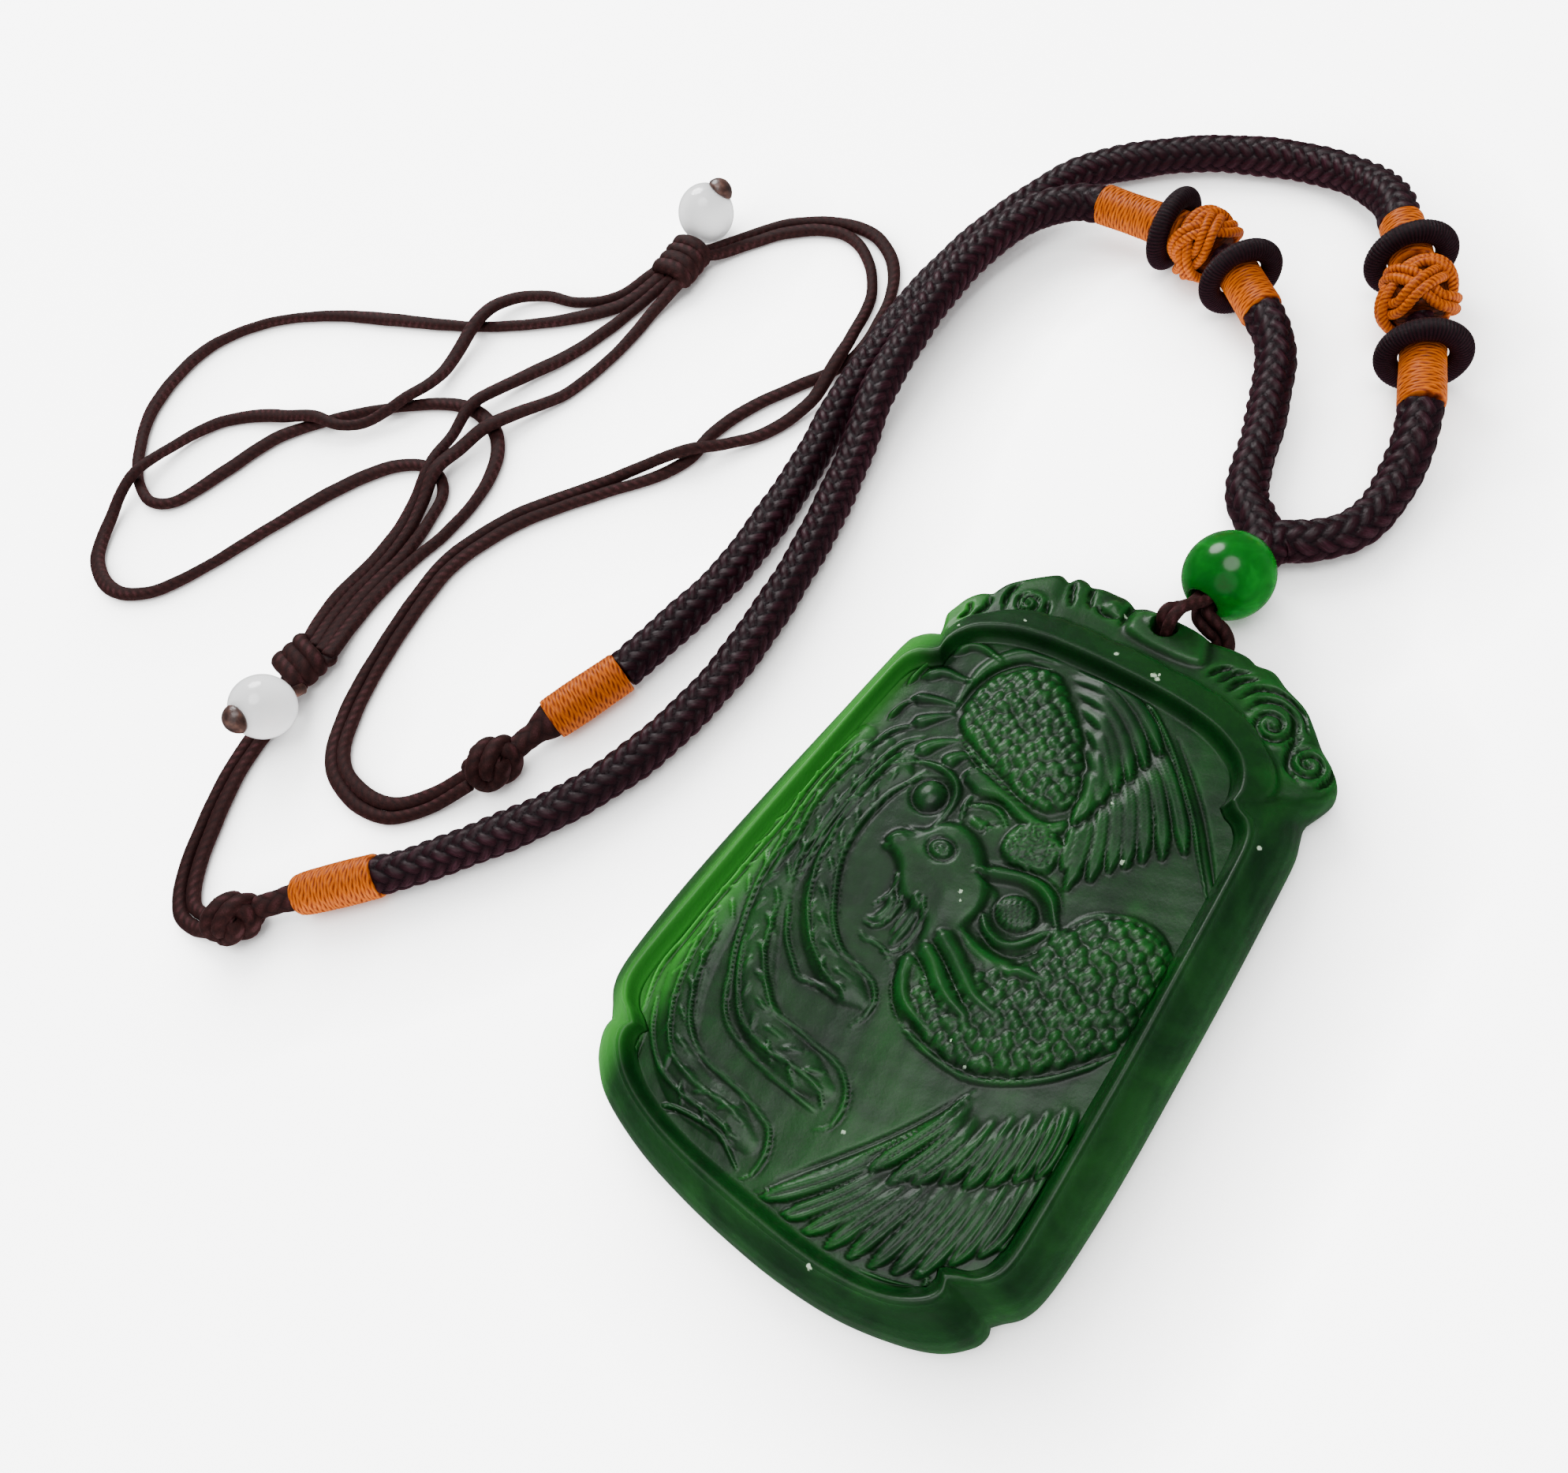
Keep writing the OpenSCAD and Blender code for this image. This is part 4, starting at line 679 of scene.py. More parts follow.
# Tail plumes: three long lobes down the left side that curl in at their tips, with raised lines along them
# and small barbs that stand off a middle rib
PLUMES = [
    ([(-12.9, 9.5), (-14, 5), (-14, -1), (-12.7, -6), (-10, -10.3), (-6.5, -13), (-3.4, -13.9),
     (-1.4, -14.2)], 3.7),
    ([(-16, 9.5), (-17.1, 3), (-17, -5), (-15.6, -11.5), (-12.6, -17.5), (-9, -21.3), (-4.5, -22.6),
     (0.6, -22.9)], 4.3),
    ([(-18.6, 9.5), (-19.5, 0), (-19.4, -8), (-19.1, -16), (-17.6, -22.6), (-14.6, -28), (-10.5, -30.6),
     (-6, -30.6), (-2.4, -31)], 4.6)]
PLUME_LINES = [
    [(-19.3, 9), (-19.7, 6), (-20, 3), (-20.1, 0), (-19.9, -3), (-20.3, -10), (-20.7, -18), (-20.9, -23),
     (-19.5, -27.5)],
    [(-18.3, 8.5), (-18.9, 5.5), (-19.2, 2), (-19.1, -1), (-18.7, -4), (-18.3, -7), (-18, -10),
     (-16.9, -14), (-15.2, -18), (-13, -21.5)],
    [(-17.3, 8), (-18, 4), (-18.2, 1), (-18, -1.5), (-17.5, -4), (-17.2, -9)],
    [(-14.8, 13), (-16.4, 11.4), (-17, 9.4), (-17.3, 8)],
    [(-13, 12.6), (-14.6, 10.5), (-15.2, 7.5), (-15.7, 4.5), (-16, 1), (-16, -3), (-15.8, -6),
     (-15, -8.5)],
    [(-13.9, 10), (-14.6, 7), (-15.1, 4), (-15.4, 1), (-15.4, -3), (-14.6, -7.4)],
    [(-12.9, 9), (-14, 8), (-14.5, 6), (-14.8, 3), (-14.8, 0), (-14.3, -3), (-14, -5), (-13, -7.5),
     (-12, -9.3), (-9.5, -12), (-6, -14), (-3.4, -14.4)],
    [(-10.5, 9.3), (-11.5, 7), (-12.3, 5), (-12.7, 2.5), (-12.8, 0), (-12.3, -3), (-11.2, -5.5),
     (-10, -7.5), (-8.5, -9.5), (-6, -11.2), (-3, -11.8), (-1.5, -12.3), (-0.6, -13.5), (-0.5, -15),
     (-1, -16.6)],
    [(-14, -10), (-12, -13), (-9.5, -15), (-8, -15.8), (-6, -15.3), (-4, -15.3)],
    [(-15, -10.5), (-14, -13), (-12.5, -16), (-10, -18.5), (-8, -19.8), (-5, -20), (-2, -20.2),
     (0.5, -20.5), (2.2, -21.7), (3, -23.7), (2.8, -25.5), (2, -26.2)],
    [(-15.6, -15.5), (-13.4, -19.2), (-10.6, -22.2), (-7, -23.2), (-3, -23), (0, -23.2), (1.2, -24.2)],
    [(-14.6, -19.6), (-12.4, -22.6), (-10, -24), (-6, -24.8), (-2, -25), (1, -24.9)],
    [(-18.2, -16), (-17.5, -20), (-16, -23.5), (-14, -26), (-11, -27.5), (-8, -27.7), (-5, -28),
     (-3, -28.4), (-1.5, -29), (-0.5, -31), (-0.5, -33), (-1.2, -34)],
    [(-19.6, -15), (-18.9, -20.5), (-17.2, -25.2), (-14.4, -28.6), (-10.6, -29.8), (-6, -29.6),
     (-3.4, -30)],
    [(-19.2, -25.5), (-17.2, -28.6), (-14, -30.8), (-10.5, -31.4), (-6.5, -31.2), (-3.6, -31.4)],
    [(-18, -29), (-17, -31.5), (-14, -33.5), (-12, -34), (-11, -33), (-8, -32.3), (-5, -32.1),
     (-2, -33.4)]]
for centre, width in PLUMES:
    field.stroke(centre, width, 0.42, (0.05, 0.08), 0.35)
for centre, width in PLUMES:
    rib = smooth_route(centre, 1.5)
    along_rib = np.gradient(rib, axis=0)
    along_rib /= np.linalg.norm(along_rib, axis=1, keepdims=True)
    off_rib = np.stack([-along_rib[:, 1], along_rib[:, 0]], 1)
    for k in range(1, len(rib) - 2):
        out = off_rib[k] * (1 if k % 2 else -1) * width * (0.34 + 0.05 * np.sin(5.1 * k))
        on, tip = along_rib[k], rib[k] + out + 2.1 * along_rib[k]
        barb = [rib[k] + 0.1 * out, rib[k] + 0.5 * out + 0.8 * on, tip]
        field.stroke(barb, 0.55, 0.3, (0.3, 0.7), 0.8)
for points in PLUME_LINES:
    beside = smooth_route(points, 1.0)[1:-1] + [0.38, -0.12]
    field.strokes((points, 0.58, 0.42, (0.12, 0.12), 0.8), (beside, 0.5, -0.2, (0.2, 0.2)))

# Small flames between the plumes and the body, and the smooth band cut round the body's left side
FLAMES = [
    ([(-16, 22.7), (-15.3, 24.2), (-13.6, 24.8), (-11, 24.3)], 1.7),
    ([(-17.4, 18.5), (-15.8, 20.1), (-14, 20.4), (-12.4, 20.7)], 1.8),
    ([(-16.8, 15.8), (-14.6, 16.8), (-12.3, 17.5)], 1.5),
    ([(-15, 13.2), (-13.4, 14.9), (-11.9, 16.3)], 1.9),
    ([(-12.6, 10.4), (-11.6, 12.3), (-9.8, 14)], 2.1),
    ([(-9.4, 10.9), (-8.6, 12.4), (-7.4, 13.4)], 2.2),
    ([(-6.4, 10.8), (-6, 12), (-4.6, 12.9)], 1.3),
    ([(-17.6, 12.4), (-17.2, 14.6), (-16.2, 16.2)], 0.8),
    ([(-18.3, 17), (-17.9, 20), (-17, 22.4)], 0.9)]
for points, width in FLAMES:
    field.stroke(points, width, 0.62, (0.15, 0.75), 0.7)
field.strokes(
    ([(-5, 27.6), (-9, 26.8), (-11.6, 24), (-12.3, 21), (-12.2, 18)], 1.9, 0.42, (0.3, 0.3), 0.6),
    ([(-13.3, 26.1), (-11.4, 27), (-9, 27.7), (-7, 27.7), (-5.9, 26.9)], 0.45, 0.34, (0.2, 0.2)),
    ([(-6.3, 26.2), (-8.9, 25.4), (-11, 22.9), (-11.9, 19.8), (-11.8, 16.4)], 0.8, -0.4, (0.2, 0.2), 0.6))

# Upper wing: a row of blades that fans out to the lower right, and smooth coverts laid over their roots
WING_BLADES = [
    [(7.2, 24.2), (10.4, 21.4), (13.2, 18.4), (15.6, 15.2)],
    [(7, 22.8), (9.8, 20), (12.2, 16.9), (14.2, 13.6)],
    [(6.8, 21.2), (9.2, 18.6), (11.2, 15.6), (12.8, 12.4)],
    [(6.6, 19.8), (8.6, 17.2), (10.4, 14.2), (11.8, 11)],
    [(6.3, 18.2), (8, 15.8), (9.6, 12.9), (10.8, 9.8)],
    [(6, 16.6), (7.4, 14.2), (8.7, 11.3), (9.7, 8)],
    [(5.7, 14.8), (6.7, 12.6), (7.7, 9.6), (8.3, 6.1)],
    [(5.3, 13), (6, 11.4), (6.6, 9.6), (7, 7.6)]]
COVERTS = [
    [(-5.2, 27.8), (-1, 27.9), (3, 26.9), (6, 25.2), (8.4, 23.2)],
    [(-4.4, 27), (-0.5, 26.7), (3, 25.4), (5.6, 23.6), (7.9, 21.2)],
    [(-3.2, 26), (0.3, 25.2), (3.2, 23.7), (5.4, 21.8), (7.4, 19.2)],
    [(-1.6, 24.7), (1.2, 23.5), (3.5, 21.9), (5.3, 19.9), (6.9, 17.4)],
    [(0.2, 23), (2.2, 21.7), (4, 19.9), (5.4, 17.9), (6.4, 15.5)],
    [(1.7, 21.1), (3.2, 19.7), (4.5, 17.9), (5.4, 15.9), (5.9, 13.8)],
    [(3, 19), (4.2, 17.4), (5, 15.6), (5.3, 13.8), (5.3, 12.2)]]
for points in WING_BLADES:
    field.feather(points, 1.5, 0.68, 0.22)
for points in COVERTS:
    field.feather(points, 1.75, 0.9, 0)
WING_EDGE = [
    (-5.7, 28.6), (0, 28.6), (4.6, 27.5), (8.4, 24.8), (11.6, 21.8), (14.6, 18.6), (17, 15.4),
    (19.6, 12.2)]
field.strokes((WING_EDGE, 0.55, 0.5, (0.1, 0.2)),
              ([(9, 25.6), (12.4, 22.4), (15.4, 19.2), (18, 15.8), (20, 13)], 0.9, -0.3, (0.3, 0.2)))

# Upper body: a low swelling covered in round scales, tips down
UPPER_BODY = [
    (-5.3, 26.2), (-8.5, 25), (-10.7, 22.5), (-11.6, 19.5), (-11.3, 16.5), (-9.8, 14.6), (-6.5, 13.3),
    (-3, 12.2), (0, 11.4), (2.6, 11.5), (4.4, 13.8), (4.2, 16), (2.8, 18.7), (0.8, 21.3), (-2, 24)]
at, d = field.plateau(UPPER_BODY, 0.6, 0.8, 0.45)
scaled[at] = smoothstep(d / 0.5)
field.strokes(([(-9.9, 14.5), (-6.6, 13.2), (-3, 12.1), (0, 11.2), (2.6, 11.2)], 0.45, 0.42),
              ([(-9.4, 13.9), (-6.4, 12.6), (-3, 11.5), (0, 10.6)], 0.5, -0.35))

# Smooth shoulder between the upper body and the head, and smooth breast from the head down to the belly
SHOULDER = [
    (-6.7, 10.3), (-6.6, 11.7), (-5.5, 12.6), (-2.5, 12), (1, 11.2), (3, 11.2), (4.6, 12.4), (5.4, 11),
    (4, 9.8), (1, 9.3), (0, 9.6), (-2.5, 10.2), (-4.6, 9.7), (-5.6, 10)]
field.plateau(SHOULDER, 0.5, 0.7, 0.15)
BREAST = [
    (-1.4, -2), (-1.3, -5), (-1.2, -8), (-0.9, -10.5), (0.2, -12.6), (2.2, -13.7), (4.2, -13), (5.5, -10),
    (7, -7), (8.5, -4.6), (6.5, -3.4), (4, -2.9), (3.1, -1.5), (3.1, 0.5), (2.4, 2.2), (0.6, 3.4),
    (-1.4, 3)]
field.plateau(BREAST, 0.6, 1.8, 0.2)

# Lower body: a full round belly with longer scales, tips to the lower right, and a smooth band below
LOWER_BODY = [
    (9.5, 2), (10.7, 3), (11.5, 4.5), (13, 6), (15, 6.8), (17.5, 6.9), (19.3, 6.3), (20.2, 5), (20.6, 3),
    (20.6, -3), (20.2, -5), (18.5, -7.5), (16.8, -9.5), (15.5, -11), (13, -13), (11, -14), (8, -14.5),
    (5, -14), (3, -13), (1.5, -11.5), (1, -10), (0.7, -8.5), (2.6, -6.4), (5.4, -4.6), (8, -3.4),
    (9.2, -1)]
at, d = field.plateau(LOWER_BODY, 0.65, 1.0, 0.5)
scaled[at] = smoothstep(d / 0.5) * smoothstep((field.x[at] - 0.35 * field.y[at] - 4.6) / 0.9)
BELLY_BAND = [(2, -13.2), (4, -14.1), (8, -14.6), (11.5, -14), (15.6, -11.2), (18.6, -7.8), (20.3, -5)]
field.strokes((BELLY_BAND, 0.6, 0.5, (0.15, 0.15), 0.7),
              ([(10.2, 2), (11.5, 4.6), (13.2, 6), (15.4, 6.8), (18, 6.7), (20, 5.4)], 0.8, 0.25, (0.2, 0.2)))

# Head in profile to the left: smooth cheek, hooked beak, curled comb, brow, eye and wattles
HEAD = [
    (-10, 1), (-9.5, 2.5), (-8.2, 3.5), (-6.9, 4.3), (-6.3, 5.4), (-5, 6.3), (-3.2, 6.6), (-1, 5.8),
    (0.6, 4.4), (2.2, 2.6), (3, 0.6), (3, -1.4), (1.6, -3.6), (0.6, -6), (-0.6, -6.2), (-1.6, -4.6),
    (-3, -4), (-4.4, -4), (-5.4, -3.4), (-6.4, -2.2), (-7.2, -1.1), (-8.2, -0.5), (-9.5, -0.3)]
field.plateau(HEAD, 0.62, 1.2, 0.25)
ROUND = (0.01, 0.01)
EYE, COMB = (-4, 2.8), (-8.6, 7.2)
field.strokes(
    ([(-9.8, 0.6), (-8.9, 0.5), (-8.2, 0.1)], 0.4, -0.25, (0.2, 0.5)),
    ([(-9.3, 2.6), (-8.2, 2.9), (-7, 2.8), (-6.6, 3.4)], 0.45, -0.24),
    ([(-9.4, 0.9), (-8.6, 1.7), (-7.6, 2)], 1.3, 0.22),
    ([(0.2, 3), (1.6, 2.5), (2.6, 2.5)], 0.6, -0.4, (0.1, 0.3)),
    (ring_line(EYE, 1.5, 1.2), 0.6, -0.3, ROUND),
    (ring_line(EYE, 0.85, 0.7), 0.5, 0.24, ROUND),
    ([(-4.15, 2.9), (-3.95, 2.8), (-3.8, 2.7)], 0.8, 0.3, ROUND))
field.plateau(ellipse(COMB, 1.6, 1.7), 0.35, 0.6, 0.4)
BROW = [(-13, 8.9), (-11.6, 9.9), (-9.6, 10.4), (-7.6, 10.1), (-6.3, 8.9), (-5.9, 7), (-6.2, 4.4)]
field.strokes(
    ([(-9.9, 8), (-9, 8.8), (-8, 8.7), (-7.2, 8)], 0.4, 0.25),
    (ring_line(COMB, 1.95, 1.95), 0.7, -0.35, ROUND),
    (BROW, 0.95, 0.55, (0.4, 0.4), 0.7),
    ([(-6.8, 10), (-6.7, 11.5), (-5.3, 12.7)], 0.5, 0.4),
    ([(-5, 9.5), (-4.8, 8), (-4.2, 6.3)], 0.6, 0.4),
    ([(-5, 7.8), (-3.6, 9), (-2, 9.4), (-0.8, 9), (0.1, 8.2)], 0.55, 0.5, (0.4, 0.4)),
    ([(-4.6, 8.8), (-3.2, 9.9), (-1.6, 10.2), (-0.2, 9.5)], 0.9, -0.35),
    ([(-1.6, 6.4), (-1.8, 7.6), (-0.6, 8.4)], 0.5, -0.3),
    ([(-3.6, 7.6), (-2.6, 7.2), (-1.4, 7.6)], 1.5, 0.3))
WATTLES = [
    ([(-6.6, -1.3), (-5.9, -2.5), (-5.8, -4), (-6.6, -5.8)], 0.45, 0.45),
    ([(-5.1, -2.8), (-4.2, -4.3), (-4.3, -6), (-5, -7.3), (-6.8, -7.6)], 0.5, 0.5),
    ([(-5.5, -3.4), (-4.9, -5), (-5.3, -6.6), (-6.2, -7)], 1.6, 0.42),
    ([(-3.4, -1.8), (-3.1, -4), (-3.4, -7.8)], 0.45, 0.48),
    ([(-2.6, -2.1), (-1.6, -4), (-1.3, -6), (-1.6, -8), (-2.8, -9)], 0.5, 0.5),
    ([(-2.9, -2.6), (-2.3, -5), (-2.6, -8)], 1.5, 0.4),
    ([(-6.2, -8.4), (-5.2, -8.9), (-3.4, -8.7), (-1.4, -9.5)], 0.45, 0.3)]
for points, width, height in WATTLES:
    field.stroke(points, width, height, (0.2, 0.3), 0.8)

# Neck patch pricked with small rings, and the striped oval in its eye-shaped frame
NECK_PATCH = [
    (1, 9.6), (3.5, 11), (5, 10.3), (6.2, 9.5), (6.4, 7), (5.5, 5.7), (3, 5.2), (1, 5.6), (0.3, 7.5)]
at, d = field.plateau(NECK_PATCH, 0.5, 0.7, 0.1)
prick = np.hypot((field.x[at] + 0.3 * np.sin(2.3 * field.y[at])) % 0.95 - 0.48,
                 (field.y[at] + 0.3 * np.sin(2.7 * field.x[at])) % 0.9 - 0.45)
pricked = np.exp(-((prick - 0.28) / 0.11) ** 2) - np.exp(-((prick / 0.16) ** 2))
field.z[at] += 0.22 * pricked * smoothstep(d / 0.4)
SOCKET = [
    (0.9, 2.5), (3, 3.7), (5, 4.3), (6.8, 4), (8, 3), (8.8, 2.1), (8.2, 0.7), (7.2, -0.8), (5.7, -1.3),
    (4.2, -0.9), (3.3, 0.3), (3, 1.7), (2, 2.2)]
field.plateau(SOCKET, -0.25, 0.5)
OVAL, STRIPE_W = (5.75, 1.35), 0.56
at, d = field.plateau(ellipse(OVAL, 2.2, 1.9), 0.12, 0.35, 0.22)
stripes = np.cos(2 * np.pi * (0.9 * field.x[at] + 0.42 * field.y[at]) / STRIPE_W)
field.z[at] += 0.15 * stripes * smoothstep(d / 0.4)
FRAME_LINES = [
    ([(-0.2, 2.9), (2, 3.9), (4, 4.7), (6, 4.9), (7.7, 4.3), (8.9, 3), (9.9, 2)], 1.5, 0.6),
    ([(0.6, 4.3), (3, 5.2), (5.6, 5.8), (7.9, 5.3), (9.4, 3.6)], 0.6, -0.35),
    ([(3, -0.4), (4.3, -1.6), (5.9, -2), (7.3, -1.5), (8.3, -0.3), (9.1, 1.1), (9.9, 2)], 1.1, 0.55),
    ([(3.6, -2), (5.6, -2.8), (7.6, -2.6), (8.9, -1.4), (9.8, 0.2)], 0.6, -0.35),
    ([(2.4, -3), (4.6, -3.8), (6.8, -3.9), (9, -3.4), (11.4, -3)], 1.7, 0.5)]
for points, width, height in FRAME_LINES:
    field.stroke(points, width, height, (0.2, 0.3), 0.8)

# Smooth flame feathers laid over the scales of the lower body
BELLY_FLAMES = [
    ([(1, -4.4), (3.2, -5.5), (5.4, -6.8), (7.2, -7.8), (9.2, -8.1)], 2.2),
    ([(0.4, -6.4), (2, -7.2), (3.6, -8.4), (5.2, -9.3), (7.4, -9.9)], 2.0),
    ([(-0.5, -8), (0.2, -10), (1.5, -11.6), (3.2, -12.5), (5, -12.9)], 1.9)]
for points, width in BELLY_FLAMES:
    field.strokes((points, width, 0.5, (0.05, 0.7), 0.6),
                  (np.array(points) + [-0.35, -1.15], 0.5, -0.4, (0.1, 0.4)))
for points, width in BELLY_FLAMES + [FRAME_LINES[-1][:2]]:
    d, share = distance_to(field.x, field.y, smooth_route(points, CARVE_STEP))
    scaled *= smoothstep((d - width * (0.45 - 0.3 * share)) / 0.3)

# The scales are 1.5 mm long and 0.95 mm wide, cut by hand so that no two are quite alike. Each is a low drop
# with a cut all round, higher at its tip. Their centres lie on a slanted grid, each moved a little at random.
SCALE_W, SCALE_L, SCALE_SLANT, SCALE_RISE = 0.95, 1.5, 0.35, 0.3
wide, long = field.x / SCALE_W, field.y / SCALE_L
over = np.stack([wide * np.cos(SCALE_SLANT) - long * np.sin(SCALE_SLANT),
                 wide * np.sin(SCALE_SLANT) + long * np.cos(SCALE_SLANT)], 1)
moved = np.random.default_rng(8).uniform(0.22, 0.78, (64, 64, 2))
cell = np.floor(over).astype(int)
nearest = np.full((len(over), 2), 9.0)
for du in (-1, 0, 1):
    for dv in (-1, 0, 1):
        centre = cell + [du, dv]
        off = over - centre - moved[centre[:, 0] % 64, centre[:, 1] % 64]
        nearest = np.where(np.hypot(*off.T)[:, None] < np.hypot(*nearest.T)[:, None], off, nearest)
drop = 0.85 * smoothstep((0.6 - np.hypot(*nearest.T)) / 0.45) + nearest @ [0.15, -0.5]
field.z += SCALE_RISE * scaled * (drop - 0.6)

# Lower wing: a short upper row of blades and a long lower row that runs down to the rim
LOWER_ROW = [
    [(8.6, -24), (6.3, -28), (3.9, -31.3), (1.6, -34)],
    [(9.8, -24.6), (8, -28.4), (6, -31.6), (4, -34.3)],
    [(11.2, -24.4), (9.8, -28), (8.2, -31.1), (6.5, -34)],
    [(12.5, -23.4), (11.4, -27), (10.1, -30.3), (8.9, -33.6)],
    [(13.8, -22.4), (13, -26), (12, -29.5), (11, -33)],
    [(15.2, -21.4), (14.6, -25.2), (13.9, -28.9), (13, -32.4)],
    [(16.5, -20.6), (16.2, -24.4), (15.6, -28), (14.9, -31.6)],
    [(17.8, -19.8), (17.7, -23.4), (17.3, -27), (16.6, -30.6)],
    [(19, -18.6), (19.1, -22), (18.9, -25.4), (18.4, -28)],
    [(20.1, -17.2), (20.4, -20.6), (20.4, -23.6), (20, -26)],
    [(21, -15.4), (21.4, -18.6), (21.4, -22), (21.1, -24.4)]]
UPPER_ROW = [
    [(12, -15), (11.6, -18), (10.3, -21.5), (8.2, -26)],
    [(13, -16), (12.7, -19), (11.7, -22.5), (10.3, -25.9)],
    [(14, -16.4), (13.9, -19), (13.1, -22), (12.1, -24.5)],
    [(15.1, -15.4), (15.1, -18), (14.7, -20.6), (14, -23)],
    [(16.3, -14.2), (16.4, -17), (16.3, -19.5), (15.9, -22.2)],
    [(17.5, -13.2), (17.8, -16), (17.8, -18.5), (17.5, -20.8)],
    [(18.6, -12), (19, -14.5), (19.2, -17), (19.1, -19.2)],
    [(19.6, -10.8), (20.2, -13), (20.5, -15.5), (20.4, -17.8)]]
for points in LOWER_ROW:
    field.feather(points, 1.55, 0.6)
for points in UPPER_ROW:
    field.feather(points, 1.5, 0.85)
field.strokes(
    ([(12, -14.6), (11.3, -17), (10, -20), (7.8, -24), (5.2, -28), (2.4, -32), (0.6, -34.2)], 0.45, 0.4),
    ([(11.6, -14.8), (10.8, -17), (9.4, -20), (7.2, -23.8), (4.6, -27.8), (1.8, -31.8)], 0.8, -0.28),
    ([(0.4, -34.9), (5, -35), (9.4, -34.3), (14, -32.8), (17.6, -31.2)], 0.55, 0.42, (0.1, 0.1)),
    ([(16.2, -30.4), (17.2, -30.1), (17.6, -31), (16.6, -31.6)], 0.45, 0.3))

# Tool marks: shallow hollows where the ground of the field was smoothed by hand
ground = (0.05 * np.sin(0.55 * field.x + 0.3 * field.y + 1.0) * np.sin(0.4 * field.y - 0.25 * field.x)
          + 0.015 * np.sin(2.1 * field.x - 1.3 * field.y) * np.sin(1.7 * field.y + 0.9 * field.x))
relief = np.clip(field.z + ground, -0.55, 1.55).reshape(ACROSS + 1, UP + 1)
edge_u = np.minimum(np.arange(ACROSS + 1), ACROSS - np.arange(ACROSS + 1))[:, None]
edge_v = np.minimum(np.arange(UP + 1), UP - np.arange(UP + 1))[None]
relief *= smoothstep((np.minimum(edge_u, edge_v) - 0.5) / 3)
patch_points = np.concatenate([patch, (FIELD_Z + relief)[..., None]], 2)


def hollows(z, reach):
    """How deep each height lies below the mean of its neighbours within reach steps: 1 at 0.1 mm, and below 0
    on ridges."""
    size = 2 * reach + 1
    around = np.lib.stride_tricks.sliding_window_view(np.pad(z, reach, mode="edge"), (size, size))
    return np.clip((around.mean((2, 3)) - z) / 0.1, -1, 1)


# How far each point of the field lies below its neighbours, for the jade's painted shade in the grooves
field_hollow = hollows(relief, 3)

# Scrolls of the top band: spirals, bosses and flowing lines, and a smooth heart round the hole
band = Carving(outer[..., 0].ravel(), outer[..., 1].ravel())
HEART = [
    (-2.5, 37.8), (-2.9, 36.2), (-2.4, 34.4), (0, 33.7), (3.6, 33.6), (6.2, 34), (7, 35), (6.3, 37),
    (5, 38.6), (1, 38.9), (-1, 38.7)]
band.plateau(HEART, 0.55, 0.9, 0.25)
for x, y, r, start, way in ((15.7, 31.9, 2.1, 2.4, 1), (20.6, 29.9, 1.9, 0.6, -1), (-13, 32.6, 1.5, 0.9, -1)):
    t = np.linspace(0, 3.6 * np.pi, 26)[:, None]
    grow = r * (0.12 + 0.88 * t / t[-1])
    curl = np.hstack([x + grow * np.cos(start + way * t), y + grow * np.sin(start + way * t)])
    band.strokes(([(x - 0.1, y), (x, y + 0.05), (x + 0.1, y)], 2.6 * r, 0.5, ROUND, 0.5),
                 (curl, 0.75, -0.7, (0.1, 0.1), 0.8))
for x, y, r in ((-5, 36.9, 0.9), (-12.9, 32.5, 0.7), (-0.4, 37.2, 0.8)):
    band.stroke([(x - 0.1, y), (x, y + 0.05), (x + 0.1, y)], 2.6 * r, 0.42, ROUND)
SCROLL_LINES = [
    [(7.7, 33.9), (8.3, 35.2), (9.4, 36.2)],
    [(8.9, 33.7), (9.6, 35.4), (10.9, 36.5)],
    [(10.2, 33.3), (10.7, 34.9), (12, 36.2)],
    [(11.6, 32.8), (12.4, 34.9), (14.6, 35.9), (17.4, 35), (18.9, 33)],
    [(13, 32.4), (13.5, 33.9), (15.4, 34.7), (17.4, 33.7), (18.1, 31.8), (17.8, 30.3)],
    [(18.6, 32.6), (18.4, 30.6), (19, 28.6), (20.6, 27.6)],
    [(22.6, 31.2), (22.9, 29.5), (22.4, 28)],
    [(-10.4, 37.6), (-9.7, 36), (-8.9, 34.6)],
    [(-8.2, 38.2), (-7.8, 36.6), (-6.9, 35.3)],
    [(-3.2, 38.2), (-3.3, 36.6), (-3.1, 35)],
    [(-6.6, 36), (-5.2, 35.4), (-3.7, 35.8)],
    [(-15.6, 34.6), (-15.9, 32.6), (-15, 30.6)],
    [(-11.4, 33.8), (-10.9, 32.6), (-10.6, 31.8)],
    [(-17.4, 31.6), (-17, 30), (-17.6, 28.4)],
    [(-19, 29.8), (-18.4, 28.6), (-18.8, 27.2)]]
for points in SCROLL_LINES:
    band.stroke(points, 0.8, -0.75, (0.2, 0.3), 0.8)
up = outer[..., 2]
on_band = smoothstep((up - 4.3) / 0.8) * (1 - smoothstep((up - 6.6) / 0.7)) * top_share[:, None]
cut_depth = band.z.reshape(outer.shape[:2]) * on_band
outer[..., 2] += cut_depth
# How deep the scroll band's cuts lie, for the same painted shade; the wall inside the rim gets none
rim_hollow = np.concatenate([hollows(cut_depth, 3), np.zeros(inner.shape[:2])], 1).T

